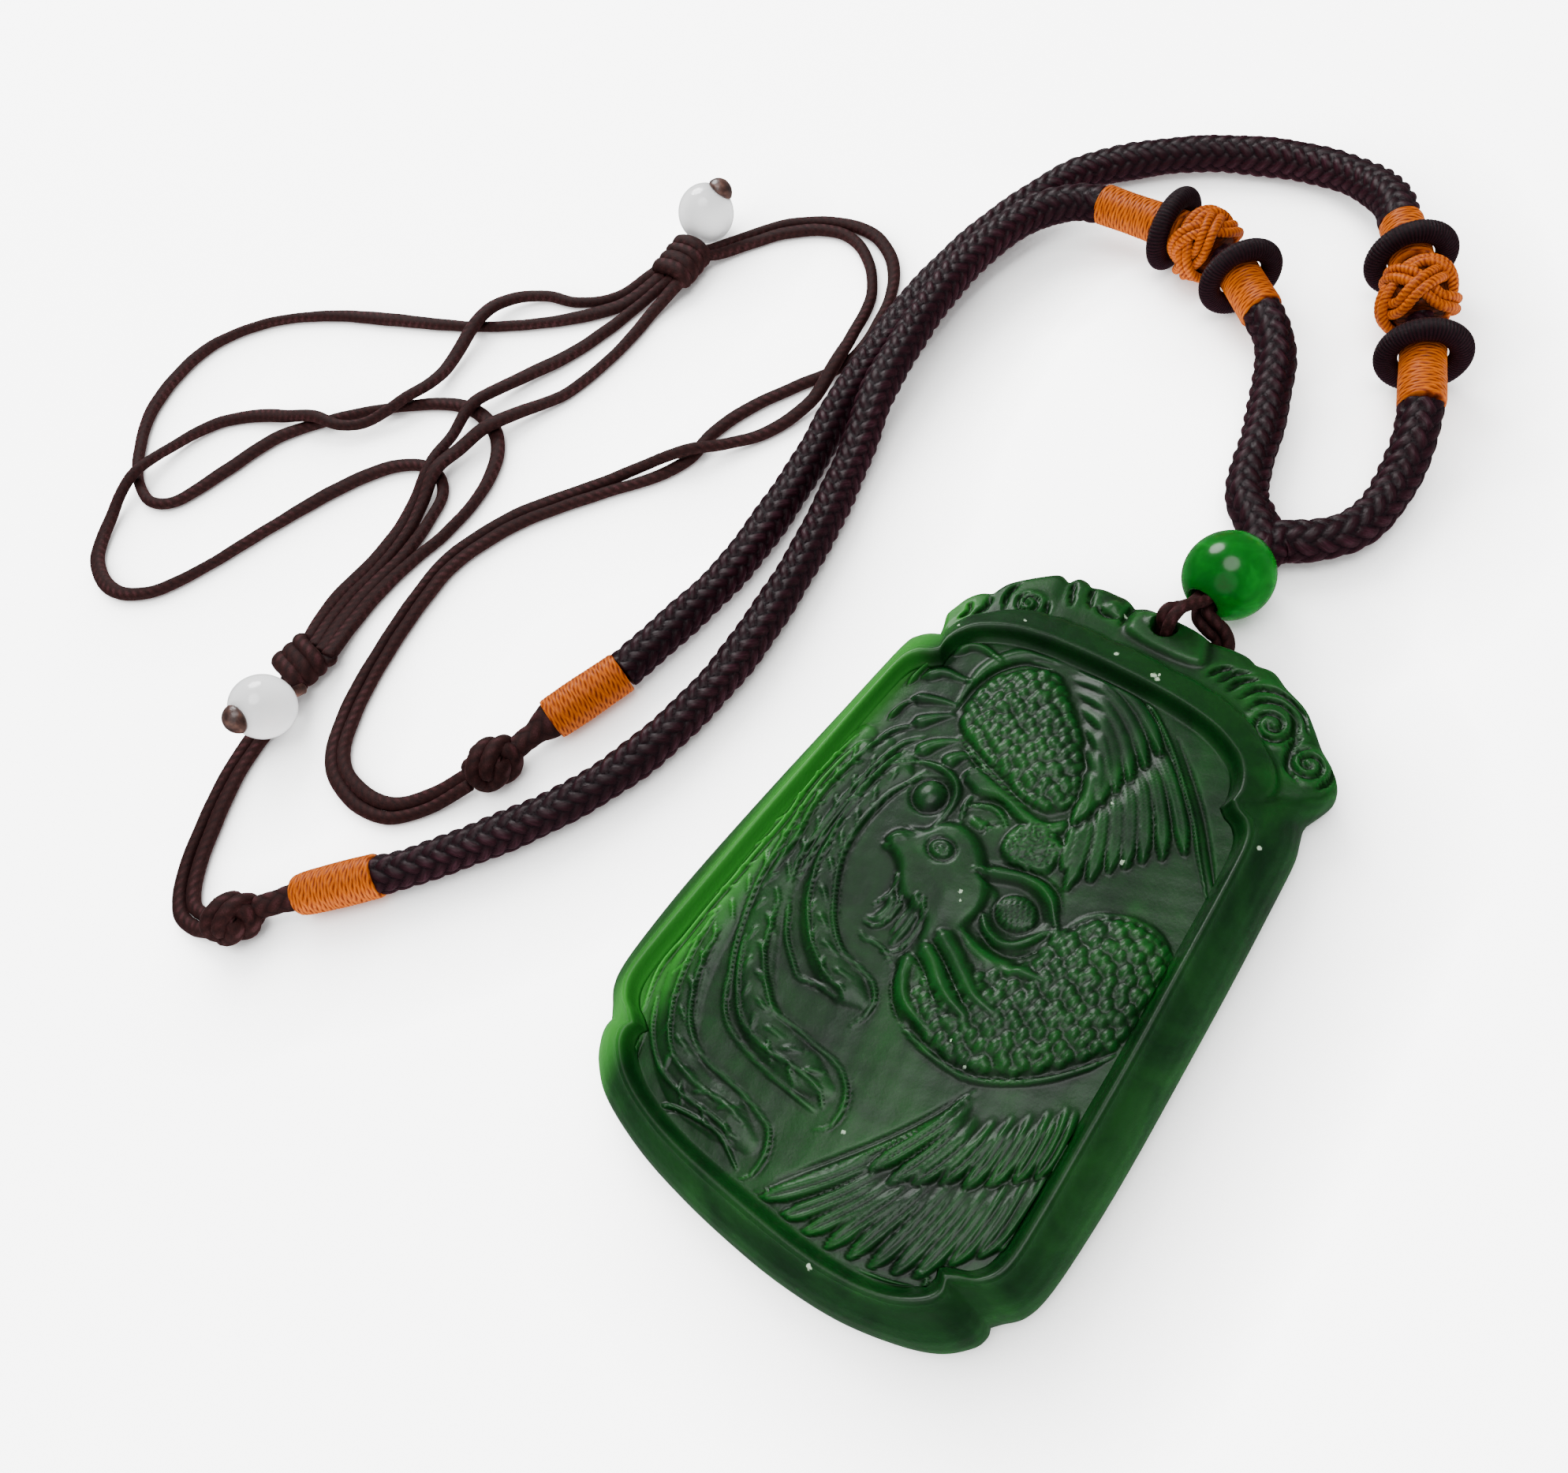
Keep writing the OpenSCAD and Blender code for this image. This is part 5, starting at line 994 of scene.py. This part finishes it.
columns = np.concatenate([outer, inner], 1)
levels = columns.shape[1]
ring_points = columns.transpose(1, 0, 2).reshape(-1, 3)
number = np.full((ACROSS + 1, UP + 1), -1)
last_level = (levels - 1) * ring + np.r_[np.arange(ring), 0]
number[:, 0] = last_level[:ACROSS + 1]
number[-1, :] = last_level[ACROSS:ACROSS + UP + 1]
number[:, -1] = last_level[ACROSS + UP:2 * ACROSS + UP + 1][::-1]
number[0, :] = last_level[2 * ACROSS + UP:][::-1]
number[1:-1, 1:-1] = len(ring_points) + np.arange((ACROSS - 1) * (UP - 1)).reshape(ACROSS - 1, UP - 1)
back_pole = len(ring_points) + (ACROSS - 1) * (UP - 1)
points = np.vstack([ring_points, patch_points[1:-1, 1:-1].reshape(-1, 3), [[0, 0, 0]]])
j, i = np.meshgrid(np.arange(levels - 1), np.arange(ring), indexing="ij")
i1 = (i + 1) % ring
rim_quads = np.stack([j * ring + i, j * ring + i1, (j + 1) * ring + i1, (j + 1) * ring + i], -1)
field_quads = np.stack([number[:-1, :-1], number[1:, :-1], number[1:, 1:], number[:-1, 1:]], -1)
rim_quads, field_quads = rim_quads.reshape(-1, 4), field_quads.reshape(-1, 4)
i = np.arange(ring)
back = np.stack([np.full(ring, back_pole), (i + 1) % ring, i], 1)
front_quads = np.vstack([rim_quads, field_quads])
plaque = add_mesh("plaque_jade", points, front_quads, back,
                  {"hollow": np.r_[rim_hollow.ravel(), field_hollow[1:-1, 1:-1].ravel(), 0]})
plaque.data.polygons.foreach_set("use_smooth", np.arange(len(front_quads) + ring) < len(front_quads))


def cut(piece, cutters):
    """Takes the cutters' shapes out of a piece and keeps the result as its mesh."""
    for cutter in cutters:
        step = piece.modifiers.new("cut", "BOOLEAN")
        step.object = cutter
        step.solver = "EXACT"
    done = bpy.data.meshes.new_from_object(piece.evaluated_get(bpy.context.evaluated_depsgraph_get()))
    piece.modifiers.clear()
    piece.data = done
    for cutter in cutters:
        bpy.data.objects.remove(cutter)


# The hole was drilled straight through, and its mouth is a little rounded
rounded = HOLE_D / 2 + 0.25
DRILL = [(0, -1), (rounded, -1), (rounded, 0.1), (HOLE_D / 2, 0.4), (HOLE_D / 2, 9.5), (0, 9.5)]
points, quads, caps = turned_parts(DRILL)
drill = add_mesh("drill", points + [*HOLE_AT, 0], quads, caps)
# A shallow groove in the back lets the cord lie flush on its hidden way from the hole to the edge
under = smooth_route(BAIL[9:16], 0.4)
points, quads, caps = tube_parts(under, np.full((len(under), 24), GROOVE_W / 2))
points[:, 2] -= np.where(points[:, 2] < 0.8, 2.0, 0)
cut(plaque, [drill, add_mesh("groove", points, quads, caps)])

# Nephrite-green stone with a waxed, ground finish: satin, light goes a few millimetres in, so thin edges and
# the side towards the light glow yellow-green, partly through the shader's subsurface light and partly as a
# painted glow in the colour.
# Cloudy patches are 5 to 12 mm across in the real stone.
JADE_COLOURS = ("#031b08", "#072d0d", "#0d3d11")
JADE_GLOW, JADE_CHIP = "#30802a", "#9fb59a"
jade, tree, shader = new_material("nephrite_jade_waxed", Roughness=0.36, IOR=1.6, Specular_IOR_Level=0.14,
                                  Subsurface_Weight=0.2, Subsurface_Scale=0.0004)
shader.inputs["Subsurface Radius"].default_value = (0.35, 1.0, 0.22)
place = add_node(tree, "TexCoord").outputs["Object"]
x_place, y_place, z_place = add_node(tree, "SeparateXYZ", {"Vector": place}).outputs
cloud = add_node(tree, "TexNoise", {"Vector": place, "Scale": 110.0, "Detail": 4.0, "Roughness": 0.55,
                                    "Distortion": 0.8}).outputs["Fac"]
stone = colour_steps(tree, cloud, (0.3, 0.5, 0.72), JADE_COLOURS)

# Painted glow: the colour is lighter at the stone's left edge, most of all on the thin wall inside the rim,
# where light from the lamp on the left would shine through, and a little lighter at its top. Each row has a
# direction, the two places between which the painted glow changes, and its values there.
painted_glow = []
for value, start, end, low, high in ((x_place, -0.0165, -0.0215, 0.0, 1.0),
                                     (x_place, -0.0215, -0.0242, 1.0, 0.16),
                                     (y_place, 0.027, 0.039, 0.0, 0.05)):
    change = {"Value": value, "From Min": start, "From Max": end, "To Min": low, "To Max": high}
    change = add_node(tree, "MapRange", change, interpolation_type="SMOOTHSTEP")
    painted_glow.append(change.outputs["Result"])
# The painted glow of the left edge, and the greater of it and the lighter top
left = add_node(tree, "Math", {0: painted_glow[0], 1: painted_glow[1]}, operation="MULTIPLY").outputs[0]
edge = add_node(tree, "Math", {0: left, 1: painted_glow[2]}, operation="MAXIMUM").outputs[0]
mixed = add_node(tree, "Mix", {"Factor": edge, "A": stone, "B": linear_rgb(JADE_GLOW)},
                 data_type="RGBA").outputs["Result"]
# Painted shade darkens the grooves and a painted highlight brightens the ridges
hollow = add_node(tree, "Attribute", attribute_name="hollow").outputs["Fac"]
crease_shade_and_ridge_light = add_node(tree, "MapRange", {"Value": hollow, "From Min": -1.0, "From Max": 1.0, "To Min": 1.5,
                                     "To Max": 0.4}).outputs["Result"]
mixed = add_node(tree, "VectorMath", {0: mixed, 1: crease_shade_and_ridge_light}, operation="MULTIPLY").outputs["Vector"]
# Small chips and grains show nearly white on the front. Each row has its place and radius in mm, and a fine
# noise makes their outlines ragged.
SPECKS = (
    (-0.9, 30.5, 0.3), (3.6, 30, 0.35), (4.2, 29.8, 0.3), (4.1, 30.4, 0.22), (-11.3, 29.3, 0.2),
    (-17.2, 25.3, 0.2), (21.1, 18.9, 0.3), (7.3, 16, 0.2), (11.3, 11.2, 0.25), (0.2, 0.1, 0.22),
    (0.7, -0.7, 0.15), (7.7, -12.4, 0.15), (10, -13.6, 0.2), (4.2, -24.9, 0.2), (8.9, -35.7, 0.3),
    (-3.4, 36.6, 0.2))
RAGGED, FRONT_Z = 0.0005, 0.004
ragged = add_node(tree, "TexNoise", {"Vector": place, "Scale": 3000.0}).outputs["Color"]
ragged = add_node(tree, "VectorMath", {0: ragged, 1: (RAGGED, RAGGED, 0)},
                  operation="MULTIPLY").outputs["Vector"]
level = add_node(tree, "VectorMath", {0: place, 1: (1, 1, 0)}, operation="MULTIPLY").outputs["Vector"]
level = add_node(tree, "VectorMath", {0: level, 1: ragged}, operation="ADD").outputs["Vector"]
chips = 0.0
for x, y, r in SPECKS:
    centre = (x / 1000 + RAGGED / 2, y / 1000 + RAGGED / 2, 0)
    away = add_node(tree, "VectorMath", {0: level, 1: centre}, operation="DISTANCE").outputs["Value"]
    speck = add_node(tree, "MapRange", {"Value": away, "From Min": r / 1000,
                                        "From Max": r / 1600}).outputs["Result"]
    chips = add_node(tree, "Math", {0: chips, 1: speck}, operation="MAXIMUM").outputs[0]
front = add_node(tree, "Math", {0: z_place, 1: FRONT_Z}, operation="GREATER_THAN").outputs[0]
chips = add_node(tree, "Math", {0: chips, 1: front}, operation="MULTIPLY").outputs[0]
mixed = add_node(tree, "Mix", {"Factor": chips, "A": mixed, "B": linear_rgb(JADE_CHIP)},
                 data_type="RGBA").outputs["Result"]
grit = add_node(tree, "TexNoise", {"Vector": place, "Scale": 2600.0, "Detail": 3.0}).outputs["Fac"]
soft = add_node(tree, "TexNoise", {"Vector": place, "Scale": 420.0, "Detail": 2.0}).outputs["Fac"]
ground_finish = add_node(tree, "Math", {0: soft, 1: grit}, operation="ADD").outputs[0]
link_surface(tree, shader, mixed, ground_finish, 0.25, 0.00008)
dress(plaque, jade, "plaque")


# Amber thread is wound tightly round the braid where the knots sit and where it ends. It is a lustrous
# two-ply viscose thread 0.45 mm thick, laid turn by turn, and the turns wander a little.
WRAP_D, END_WRAP_D, THREAD_D = 5.0, 5.4, 0.45
LOWER_WRAP_L, END_WRAP_L = 9.0, 10.4
AMBER_COLOURS = ("#1e0800", "#7c2e00", "#d16a01")

# On each side a lower wrap, a core and an upper wrap lie end to end, and an end wrap closes the neck cord.
# Where it lies and which way it heads, in degrees, is measured from the photograph.
SIDES = ("left", "right")
GROUP_Z = 5.2
LOW_AT = {"left": np.array([-12, 82, GROUP_Z]), "right": np.array([10, 76, GROUP_Z])}
LOW_AZ = {"left": 140, "right": 114}
CORE_L = {"left": 9.1, "right": 13.0}
CORE_AZ = {"left": 161, "right": 120}
HIGH_L = {"left": 12.0, "right": 7.5}
HIGH_AZ = {"left": 176, "right": 125}
END_AT = {"left": np.array([-59.1, -34.3, END_WRAP_D / 2]), "right": np.array([-51.5, 2.2, END_WRAP_D / 2])}
END_AZ = {"left": -132.7, "right": -109}
END_ROUNDING = {"left": 2.6, "right": 0.8}
MID_AT = {side: LOW_AT[side] + LOWER_WRAP_L * heading(LOW_AZ[side]) for side in SIDES}
HIGH_AT = {side: MID_AT[side] + CORE_L[side] * heading(CORE_AZ[side]) for side in SIDES}


def crowned_tube(name, line, radius, crown):
    """A tube as a piece that also holds how high each point stands, from 0 to 1, and where it lies when
    pulled straight."""
    points, quads, triangles = tube_parts(line, radius)
    points[:, 2] = np.maximum(points[:, 2], LOWEST)
    values = {"crown": np.r_[crown.ravel(), 0, 0], "straight": straightened(line, radius)}
    return add_mesh(name, points, quads, triangles, values)


def wound_cord(name, at, az, d, length, starts, far_round):
    """A cylinder wound in thread. A thread's ridge is sin(pi f) to the power 0.7, where f is the fraction of
    s / THREAD_D - starts * turn plus slow waves. The gaps open in dashes, nine to a turn. Each end is rounded
    over, the far one by far_round mm."""
    s = np.linspace(0, length, int(length / 0.07))[:, None]
    turn = (np.arange(88) / 88)[None]
    wander = 0.20 * np.sin(4 * np.pi * turn + 1.3 * s) + 0.12 * np.sin(10 * np.pi * turn + 2.9 * s + az)
    lap = s / THREAD_D - starts * turn + wander
    open_gap = 0.5 + 0.5 * np.sin(18 * np.pi * turn + 2.4 * np.floor(lap + 0.5) + 0.8 * s)
    ridge = 1 - (1 - np.sin(np.pi * (lap % 1)) ** 0.7) * (0.3 + 0.7 * open_gap)
    near_end, far_end = (1 - np.sqrt(share * (2 - share))
                         for share in (np.clip(s / THREAD_D, 0, 1), np.clip((length - s) / far_round, 0, 1)))
    rounding = 1 - 0.10 * near_end - 0.30 * far_round / d * far_end
    radius = (d / 2 - 0.16 * (1 - ridge) + 0.04 * np.sin(s / 1.7 + az)) * rounding
    return crowned_tube(name, at + s * heading(az), radius, ridge)


# Golden amber with a silky shine. Painted shade darkens the gaps between turns and between the plies of the
# knots' cord, and fine streaks run along the thread.
amber_thread, tree, shader = new_material("viscose_thread_amber", Roughness=0.38, Specular_IOR_Level=0.1)
crown = add_node(tree, "Attribute", attribute_name="crown").outputs["Fac"]
straight = add_node(tree, "Attribute", attribute_name="straight").outputs["Vector"]
stretched = add_node(tree, "Mapping", {"Vector": straight, "Scale": (7.0, 1.1, 1.1)}).outputs["Vector"]
streaks = add_node(tree, "TexNoise", {"Vector": stretched, "Scale": 1.0, "Detail": 3.0,
                                      "Roughness": 0.6}).outputs["Fac"]
tone = add_node(tree, "Mix", {"Factor": 0.5, "A": crown, "B": streaks}, data_type="FLOAT").outputs["Result"]
link_surface(tree, shader, colour_steps(tree, tone, (0.26, 0.54, 0.88), AMBER_COLOURS), streaks, 0.4, 0.0001)

end_wraps = {}
for side in SIDES:
    end_wraps[side] = wound_cord(side + "_end_winding", END_AT[side], END_AZ[side], END_WRAP_D, END_WRAP_L, 8,
                                 END_ROUNDING[side])
    dress(end_wraps[side], amber_thread, side + "_end_wrap")
    for part, at, az, length in (("_lower", LOW_AT[side], LOW_AZ[side], LOWER_WRAP_L),
                                 ("_upper", HIGH_AT[side], HIGH_AZ[side], HIGH_L[side])):
        piece = wound_cord(side + part + "_winding", at, az, WRAP_D, length, 1, THREAD_D)
        dress(piece, amber_thread, side + part + "_wrap")


# Each group has two rings, which slide on the windings. A ring is a hoop wound closely in dark thread.
RING_R, RING_T, RING_THREADS = 3.9, 2.6, 72
LOW_RING_SHARE = {"left": 0.75, "right": 0.85}

u = (np.arange(360) * 2 * np.pi / 360)[None]
v = (np.arange(36) * 2 * np.pi / 36)[:, None]
ridge = np.sin(RING_THREADS / 2 * u + v + 0.4 * np.sin(5 * u)) ** 2
minor = RING_T / 2 - 0.07 * (1 - ridge) + 0.02 * np.sin(3 * u + v)
outline = np.stack([RING_R + minor * np.cos(v), minor * np.sin(v) + 0 * u], -1)
ring_points, ring_quads, _ = lathe_parts(outline, 360)
ring_lay = np.stack([0.6 * u * RING_THREADS + 0 * v, np.cos(v) + 0 * u, np.sin(v) + 0 * u], -1).reshape(-1, 3)
for side in SIDES:
    for part, at, az, along in (
            ("_lower_ring", LOW_AT[side], LOW_AZ[side], LOW_RING_SHARE[side] * LOWER_WRAP_L),
            ("_upper_ring", HIGH_AT[side], HIGH_AZ[side], RING_T / 2)):
        points = placed(ring_points, at + along * heading(az), az)
        # The hoops' crowns give them the braid's painted shade between their turns
        piece = add_mesh(side + part + "_hoop", points, ring_quads, [],
                         {"crown": 0.75 * ridge.ravel(), "lay": ring_lay})
        dress(piece, braid_material, side + part)


# Between its rings each side has a button knot on a thin dark cord. The knot is plaited from two lengths of
# twisted amber cord laid side by side, three passes round the core with four bights at each end.
CORE_D, CORE_RISE, BUTTON_D, BUTTON_CORD_D = 3.2, 0.25, 9.6, 1.2
BUTTON_L = {"left": 6.2, "right": 8.0}
BUTTON_SHARE = {"left": 0.56, "right": 0.58}


def barrel_radius(z, d, length):
    """Radius of a round-sided barrel at height z: d/2 (1 - 0.8 (1 - cos a)), sin a = 0.866 z / (length/2)."""
    a = np.arcsin(np.clip(0.866 * z / (length / 2), -0.95, 0.95))
    return d / 2 * (1 - 0.8 * (1 - np.cos(a)))


def twisted_parts(line, d, normal, plies, lead, sides):
    """A tube of twisted cord: plies rounded strands that turn once in lead mm."""
    s = arc_length(line)[:, None]
    turn = (np.arange(sides) / sides)[None]
    ply = np.abs(np.sin(np.pi * (plies * (turn + s / lead)))) ** 0.6
    radius = d / 2 * (0.89 + 0.11 * ply)
    crown = np.r_[0.25 + 0.75 * ply.ravel(), 0, 0]
    return *tube_parts(line, radius, normal), crown, straightened(line, radius)


def knot_lines(d, length, passes, bights, cord_d, lift, weave, step):
    """Centre lines of a plaited knot about Z. With t from 0 to a turn, the angle is passes t, the height is
    A cos(bights t) and the cord rises and dips by lift sin(weave t) about the barrel."""
    t = np.linspace(0, 2 * np.pi, 1600)
    z = (length / 2 - cord_d) * np.cos(bights * t)
    r = barrel_radius(z, d, length) - cord_d / 2 - lift + lift * np.sin(weave * t)
    line = np.stack([r * np.cos(passes * t), r * np.sin(passes * t), z], 1)
    line = smooth_route(line[::8], step)
    normal = line * [1, 1, 0.4]
    beside, _ = cross_axes(line, normal)
    return [(line + k * cord_d / 2 * beside, normal) for k in (-1, 1)]


def knot_piece(name, at, az, d, length, lines, cord, core_d):
    """One mesh of a knot's cords and the hidden body that they lie on, put in its place."""
    h = np.linspace(-0.42, 0.42, 15) * length
    outline = np.stack([barrel_radius(h, d, length) - core_d, h], 1)
    body = turned_parts(np.vstack([[0, h[0]], outline, [0, h[-1]]]))
    parts = [cord(line, normal) for line, normal in lines] + [(*body, np.full(len(body[0]), 0.1), body[0])]
    points, quads, triangles, crown, straight = joined(parts)
    points = placed(points, at, az)
    points[:, 2] = np.maximum(points[:, 2], LOWEST)
    return add_mesh(name, points, quads, triangles, {"crown": crown, "straight": straight})


def amber_cord(line, normal):
    """The button knots' cord: three hard-twisted plies that turn once in 1.5 mm."""
    return twisted_parts(line, BUTTON_CORD_D, normal, 3, 1.5, 12)


for side in SIDES:
    s = np.linspace(0, CORE_L[side], int(CORE_L[side] / 0.1))[:, None]
    line = MID_AT[side] + s * heading(CORE_AZ[side])
    core = braided_cord(side + "_core_cord", line, CORE_D, CORE_RISE, yarns=6, lead=9.0, sides=64, wander=0)
    dress(core, braid_material, side + "_core")
    lines = knot_lines(BUTTON_D, BUTTON_L[side], 3, 4, BUTTON_CORD_D, 0.42, 8, 0.13)
    at = MID_AT[side] + BUTTON_SHARE[side] * CORE_L[side] * heading(CORE_AZ[side])
    piece = knot_piece(side + "_button_knot_plait", at, CORE_AZ[side], BUTTON_D, BUTTON_L[side], lines,
                       amber_cord, 1.3)
    dress(piece, amber_thread, side + "_button_knot")


# Behind each end winding the braid thins to a flat neck, and its two strands are tied in an overhand knot.
NECK_L, END_KNOT_D, END_KNOT_L = 5.2, 6.0, 7.0
NECK_R = {"left": 1.7, "right": 2.25}
TAIL_AZ = {"left": -130, "right": -104}
KNOT_AZ = {"left": -125, "right": -110}


def neck_piece(name, at, az, wide):
    """Braid that thins from a radius of wide to 1.45 mm over its first half, a little flat."""
    line = at + np.linspace(-0.1, NECK_L + 0.4, 60)[:, None] * heading(az)
    s = arc_length(line)[:, None]
    turn = (np.arange(56) / 56)[None]
    height, _, _, _ = braid_relief(s, turn, 5, 10.0)
    flat = 1 + 0.08 * np.cos(4 * np.pi * turn)
    radius = (1.45 + (wide - 1.45) * (1 - smoothstep(s / 3.2))) * flat - 0.16 * (1 - height)
    return crowned_tube(name, line, radius, height)


def dark_string(line, normal):
    """The strands' own string."""
    return string_parts(line, 1.3 * STRAND_D, 0.7, normal, 14, 0.08)


for side in SIDES:
    tail_at = END_AT[side] + END_WRAP_L * heading(END_AZ[side])
    neck = neck_piece(side + "_neck_braid", tail_at, TAIL_AZ[side], NECK_R[side])
    dress(neck, strand_material, side + "_end_neck")
    lines = knot_lines(END_KNOT_D, END_KNOT_L, 2, 3, 1.15 * STRAND_D, 0.3, 3, 0.2)
    at = tail_at + NECK_L * heading(TAIL_AZ[side]) + END_KNOT_L / 2 * heading(KNOT_AZ[side])
    piece = knot_piece(side + "_end_knot_strings", at, KNOT_AZ[side], END_KNOT_D, END_KNOT_L, lines,
                       dark_string, 1.1)
    dress(piece, strand_material, side + "_end_knot")


# The sliding knots are round turns of string pulled tight across the strands.
SLIDE_W, TURN_D, TURN_PITCH = 7.0, 4.2, 1.75


def sliding_knot(name, at, az, turns):
    """Turns of string about Y in a flat helix: x and z on an ellipse, y = TURN_PITCH a / (2 pi)."""
    a = np.linspace(-0.3, 2 * np.pi * (turns + 0.6), int(60 * turns))
    x = (SLIDE_W - STRAND_D) / 2 * np.cos(a)
    z = (TURN_D - STRAND_D) / 2 * np.sin(a)
    y = TURN_PITCH * (a / (2 * np.pi) - turns / 2 - 0.2) + 0.12 * np.sin(2 * a)
    line = smooth_route(np.stack([x, y, z], 1), 0.2)
    points, quads, triangles, height, straight = string_parts(
        line, STRAND_D * 1.35, 2.1, line * [1, 0, 2.2], 14, 0.1)
    c, s = np.cos(np.radians(az)), np.sin(np.radians(az))
    points = points @ np.array([[c, s, 0], [-s, c, 0], [0, 0, 1]]) + at
    points[:, 2] = np.maximum(points[:, 2], LOWEST)
    return add_mesh(name, points, quads, triangles, {"crown": height, "straight": straight})


for name, x, y, az, turns in (("slide_knot_1", -93, 61.2, 4, 2.9), ("slide_knot_2", -93.2, -19.8, -6, 2.4)):
    piece = sliding_knot(name + "_turns", np.array([x, y, TURN_D / 2]), az, turns)
    dress(piece, strand_material, name)


# A milky white glass ball on each loose end. Its string comes out of the bore and is melted into a dome.
WHITE_D, WHITE_BORE, WHITE_LIP = 8.4, 1.8, 0.15
MELT_D, MELT_SINK, MELT_GAP, SHANK_R = 4.0, 0.6, 0.05, 0.55
MILK_COLOURS = ("#f7f8fa", "#ffffff")

milk_glass, tree, shader = new_material("milk_glass_white", Roughness=0.12, IOR=1.5, Coat_Weight=0.4,
                                        Coat_Roughness=0.05, Subsurface_Weight=0.9, Subsurface_Scale=0.0025)
shader.inputs["Subsurface Radius"].default_value = (1.0, 1.0, 1.0)
place = add_node(tree, "TexCoord").outputs["Object"]
cloud = add_node(tree, "TexNoise", {"Vector": place, "Scale": 220.0, "Detail": 2.0}).outputs["Fac"]
tree.links.new(colour_steps(tree, cloud, (0.3, 0.7), MILK_COLOURS), shader.inputs["Base Color"])

# Melted polyester: a glossy dark brown bead of plastic, lumpy and scorched
MELT_COLOURS = ("#20100d", "#432a23", "#64453a")
melted, tree, shader = new_material("melted_polyester", Roughness=0.38, Coat_Weight=0.1, Coat_Roughness=0.2)
place = add_node(tree, "TexCoord").outputs["Object"]
scorch = add_node(tree, "TexNoise", {"Vector": place, "Scale": 900.0, "Detail": 3.0}).outputs["Fac"]
link_surface(tree, shader, colour_steps(tree, scorch, (0.35, 0.55, 0.75), MELT_COLOURS), scorch, 0.6, 0.0003)


def melted_profile(tail):
    """From a pole up the string in the bore, out under the dome, and over the dome to its pole."""
    r, top = WHITE_D / 2 + MELT_GAP, WHITE_D / 2 - MELT_SINK
    a = np.arcsin(np.linspace(0.85, 0.93 * MELT_D / 2, 8) / r)
    under = np.stack([r * np.sin(a), r * np.cos(a)], 1)
    b = np.linspace(np.arccos(np.clip((under[-1, 1] - top) / (MELT_D / 2), -1, 1)), 0, 12)[1:-1]
    dome = np.stack([MELT_D / 2 * np.sin(b), top + MELT_D / 2 * np.cos(b)], 1)
    low = -WHITE_D / 2 - tail
    shank = [(0, low), (SHANK_R, low), (STRAND_D / 2, low + 0.2), (STRAND_D / 2, r * np.cos(a[0]) - 0.1)]
    return np.vstack([shank, under, dome, [(0, top + MELT_D / 2)]])


ball_points, ball_quads, _ = lathe_parts(bead_profile(WHITE_D, WHITE_BORE, WHITE_LIP))
for number, at, az, up, tail in (("1", (-94.2, 69.6, WHITE_D / 2), 60, 38, 1.3),
                                 ("2", (-88.8, -27.6, STRAND_D + WHITE_D / 2), -80, 35, 2.2)):
    bead = add_mesh("white_bead_" + number + "_ball", placed(ball_points, at, az, up), ball_quads)
    dress(bead, milk_glass, "white_bead_" + number)
    points, quads, triangles = turned_parts(melted_profile(tail))
    tip = add_mesh("tip_" + number + "_melted", placed(points, at, az, up), quads, triangles)
    dress(tip, melted, "tip_" + number)


# A plain white table that glows, a large soft light high on the left and an even room. Close to the pendant
# the table's glow is dimmed as a painted shadow, shifted as if the pendant kept the light from the left off
# it.
FLOOR_Z, FLOOR_REACH = -0.00005, 3
SHADE_REACH, SHADE_POWER, GLOW = 0.016, 2.2, 5.6
LAMPS = (("key", (-0.55, 0.36, 0.5), 0.4, 8.0),
         ("top", (0.08, -0.02, 1.2), 0.8, 13.5),
         ("front", (0.3, -1.0, 0.8), 1.4, 5.0))
LAMPS_AIM = Vector((-0.03, 0.02, 0))
ROOM_LIGHT = 0.25

floor_mesh = bpy.data.meshes.new("floor")
floor_corners = [(x * FLOOR_REACH, y * FLOOR_REACH, FLOOR_Z) for x, y in ((-1, -1), (1, -1), (1, 1), (-1, 1))]
floor_mesh.from_pydata(floor_corners, [], [(0, 1, 2, 3)])
floor = bpy.data.objects.new("floor", floor_mesh)
bpy.context.scene.collection.objects.link(floor)
paper, tree, shader = new_material("lit_white_acrylic", Roughness=0.6)
shader.inputs["Base Color"].default_value = linear_rgb("#f4f4f3")
shader.inputs["Emission Color"].default_value = (1, 1, 1, 1)
# Painted shadow: ambient occlusion about a normal tilted towards the left dims the glow near the pendant
from_left = add_node(tree, "CombineXYZ", {"X": -0.7, "Y": 0.05, "Z": 0.71}).outputs["Vector"]
unshaded_share = add_node(tree, "AmbientOcclusion", {"Distance": SHADE_REACH, "Normal": from_left},
                    samples=8).outputs["AO"]
unshaded_share = add_node(tree, "Math", {0: unshaded_share, 1: SHADE_POWER}, operation="POWER").outputs[0]
glow = add_node(tree, "Math", {0: unshaded_share, 1: GLOW}, operation="MULTIPLY").outputs[0]
tree.links.new(glow, shader.inputs["Emission Strength"])
floor_mesh.materials.append(paper)
floor.visible_glossy = False

for name, place, size, power in LAMPS:
    lamp = bpy.data.lights.new(name, "AREA")
    lamp.shape = "DISK"
    lamp.size = size
    lamp.energy = power
    holder = bpy.data.objects.new(name, lamp)
    aim = LAMPS_AIM - Vector(place)
    holder.matrix_world = Matrix.Translation(place) @ aim.to_track_quat("-Z", "Y").to_matrix().to_4x4()
    bpy.context.scene.collection.objects.link(holder)

world = bpy.data.worlds.new("room")
world.use_nodes = True
world.node_tree.nodes["Background"].inputs["Color"].default_value = (1, 1, 1, 1)
world.node_tree.nodes["Background"].inputs["Strength"].default_value = ROOM_LIGHT
bpy.context.scene.world = world
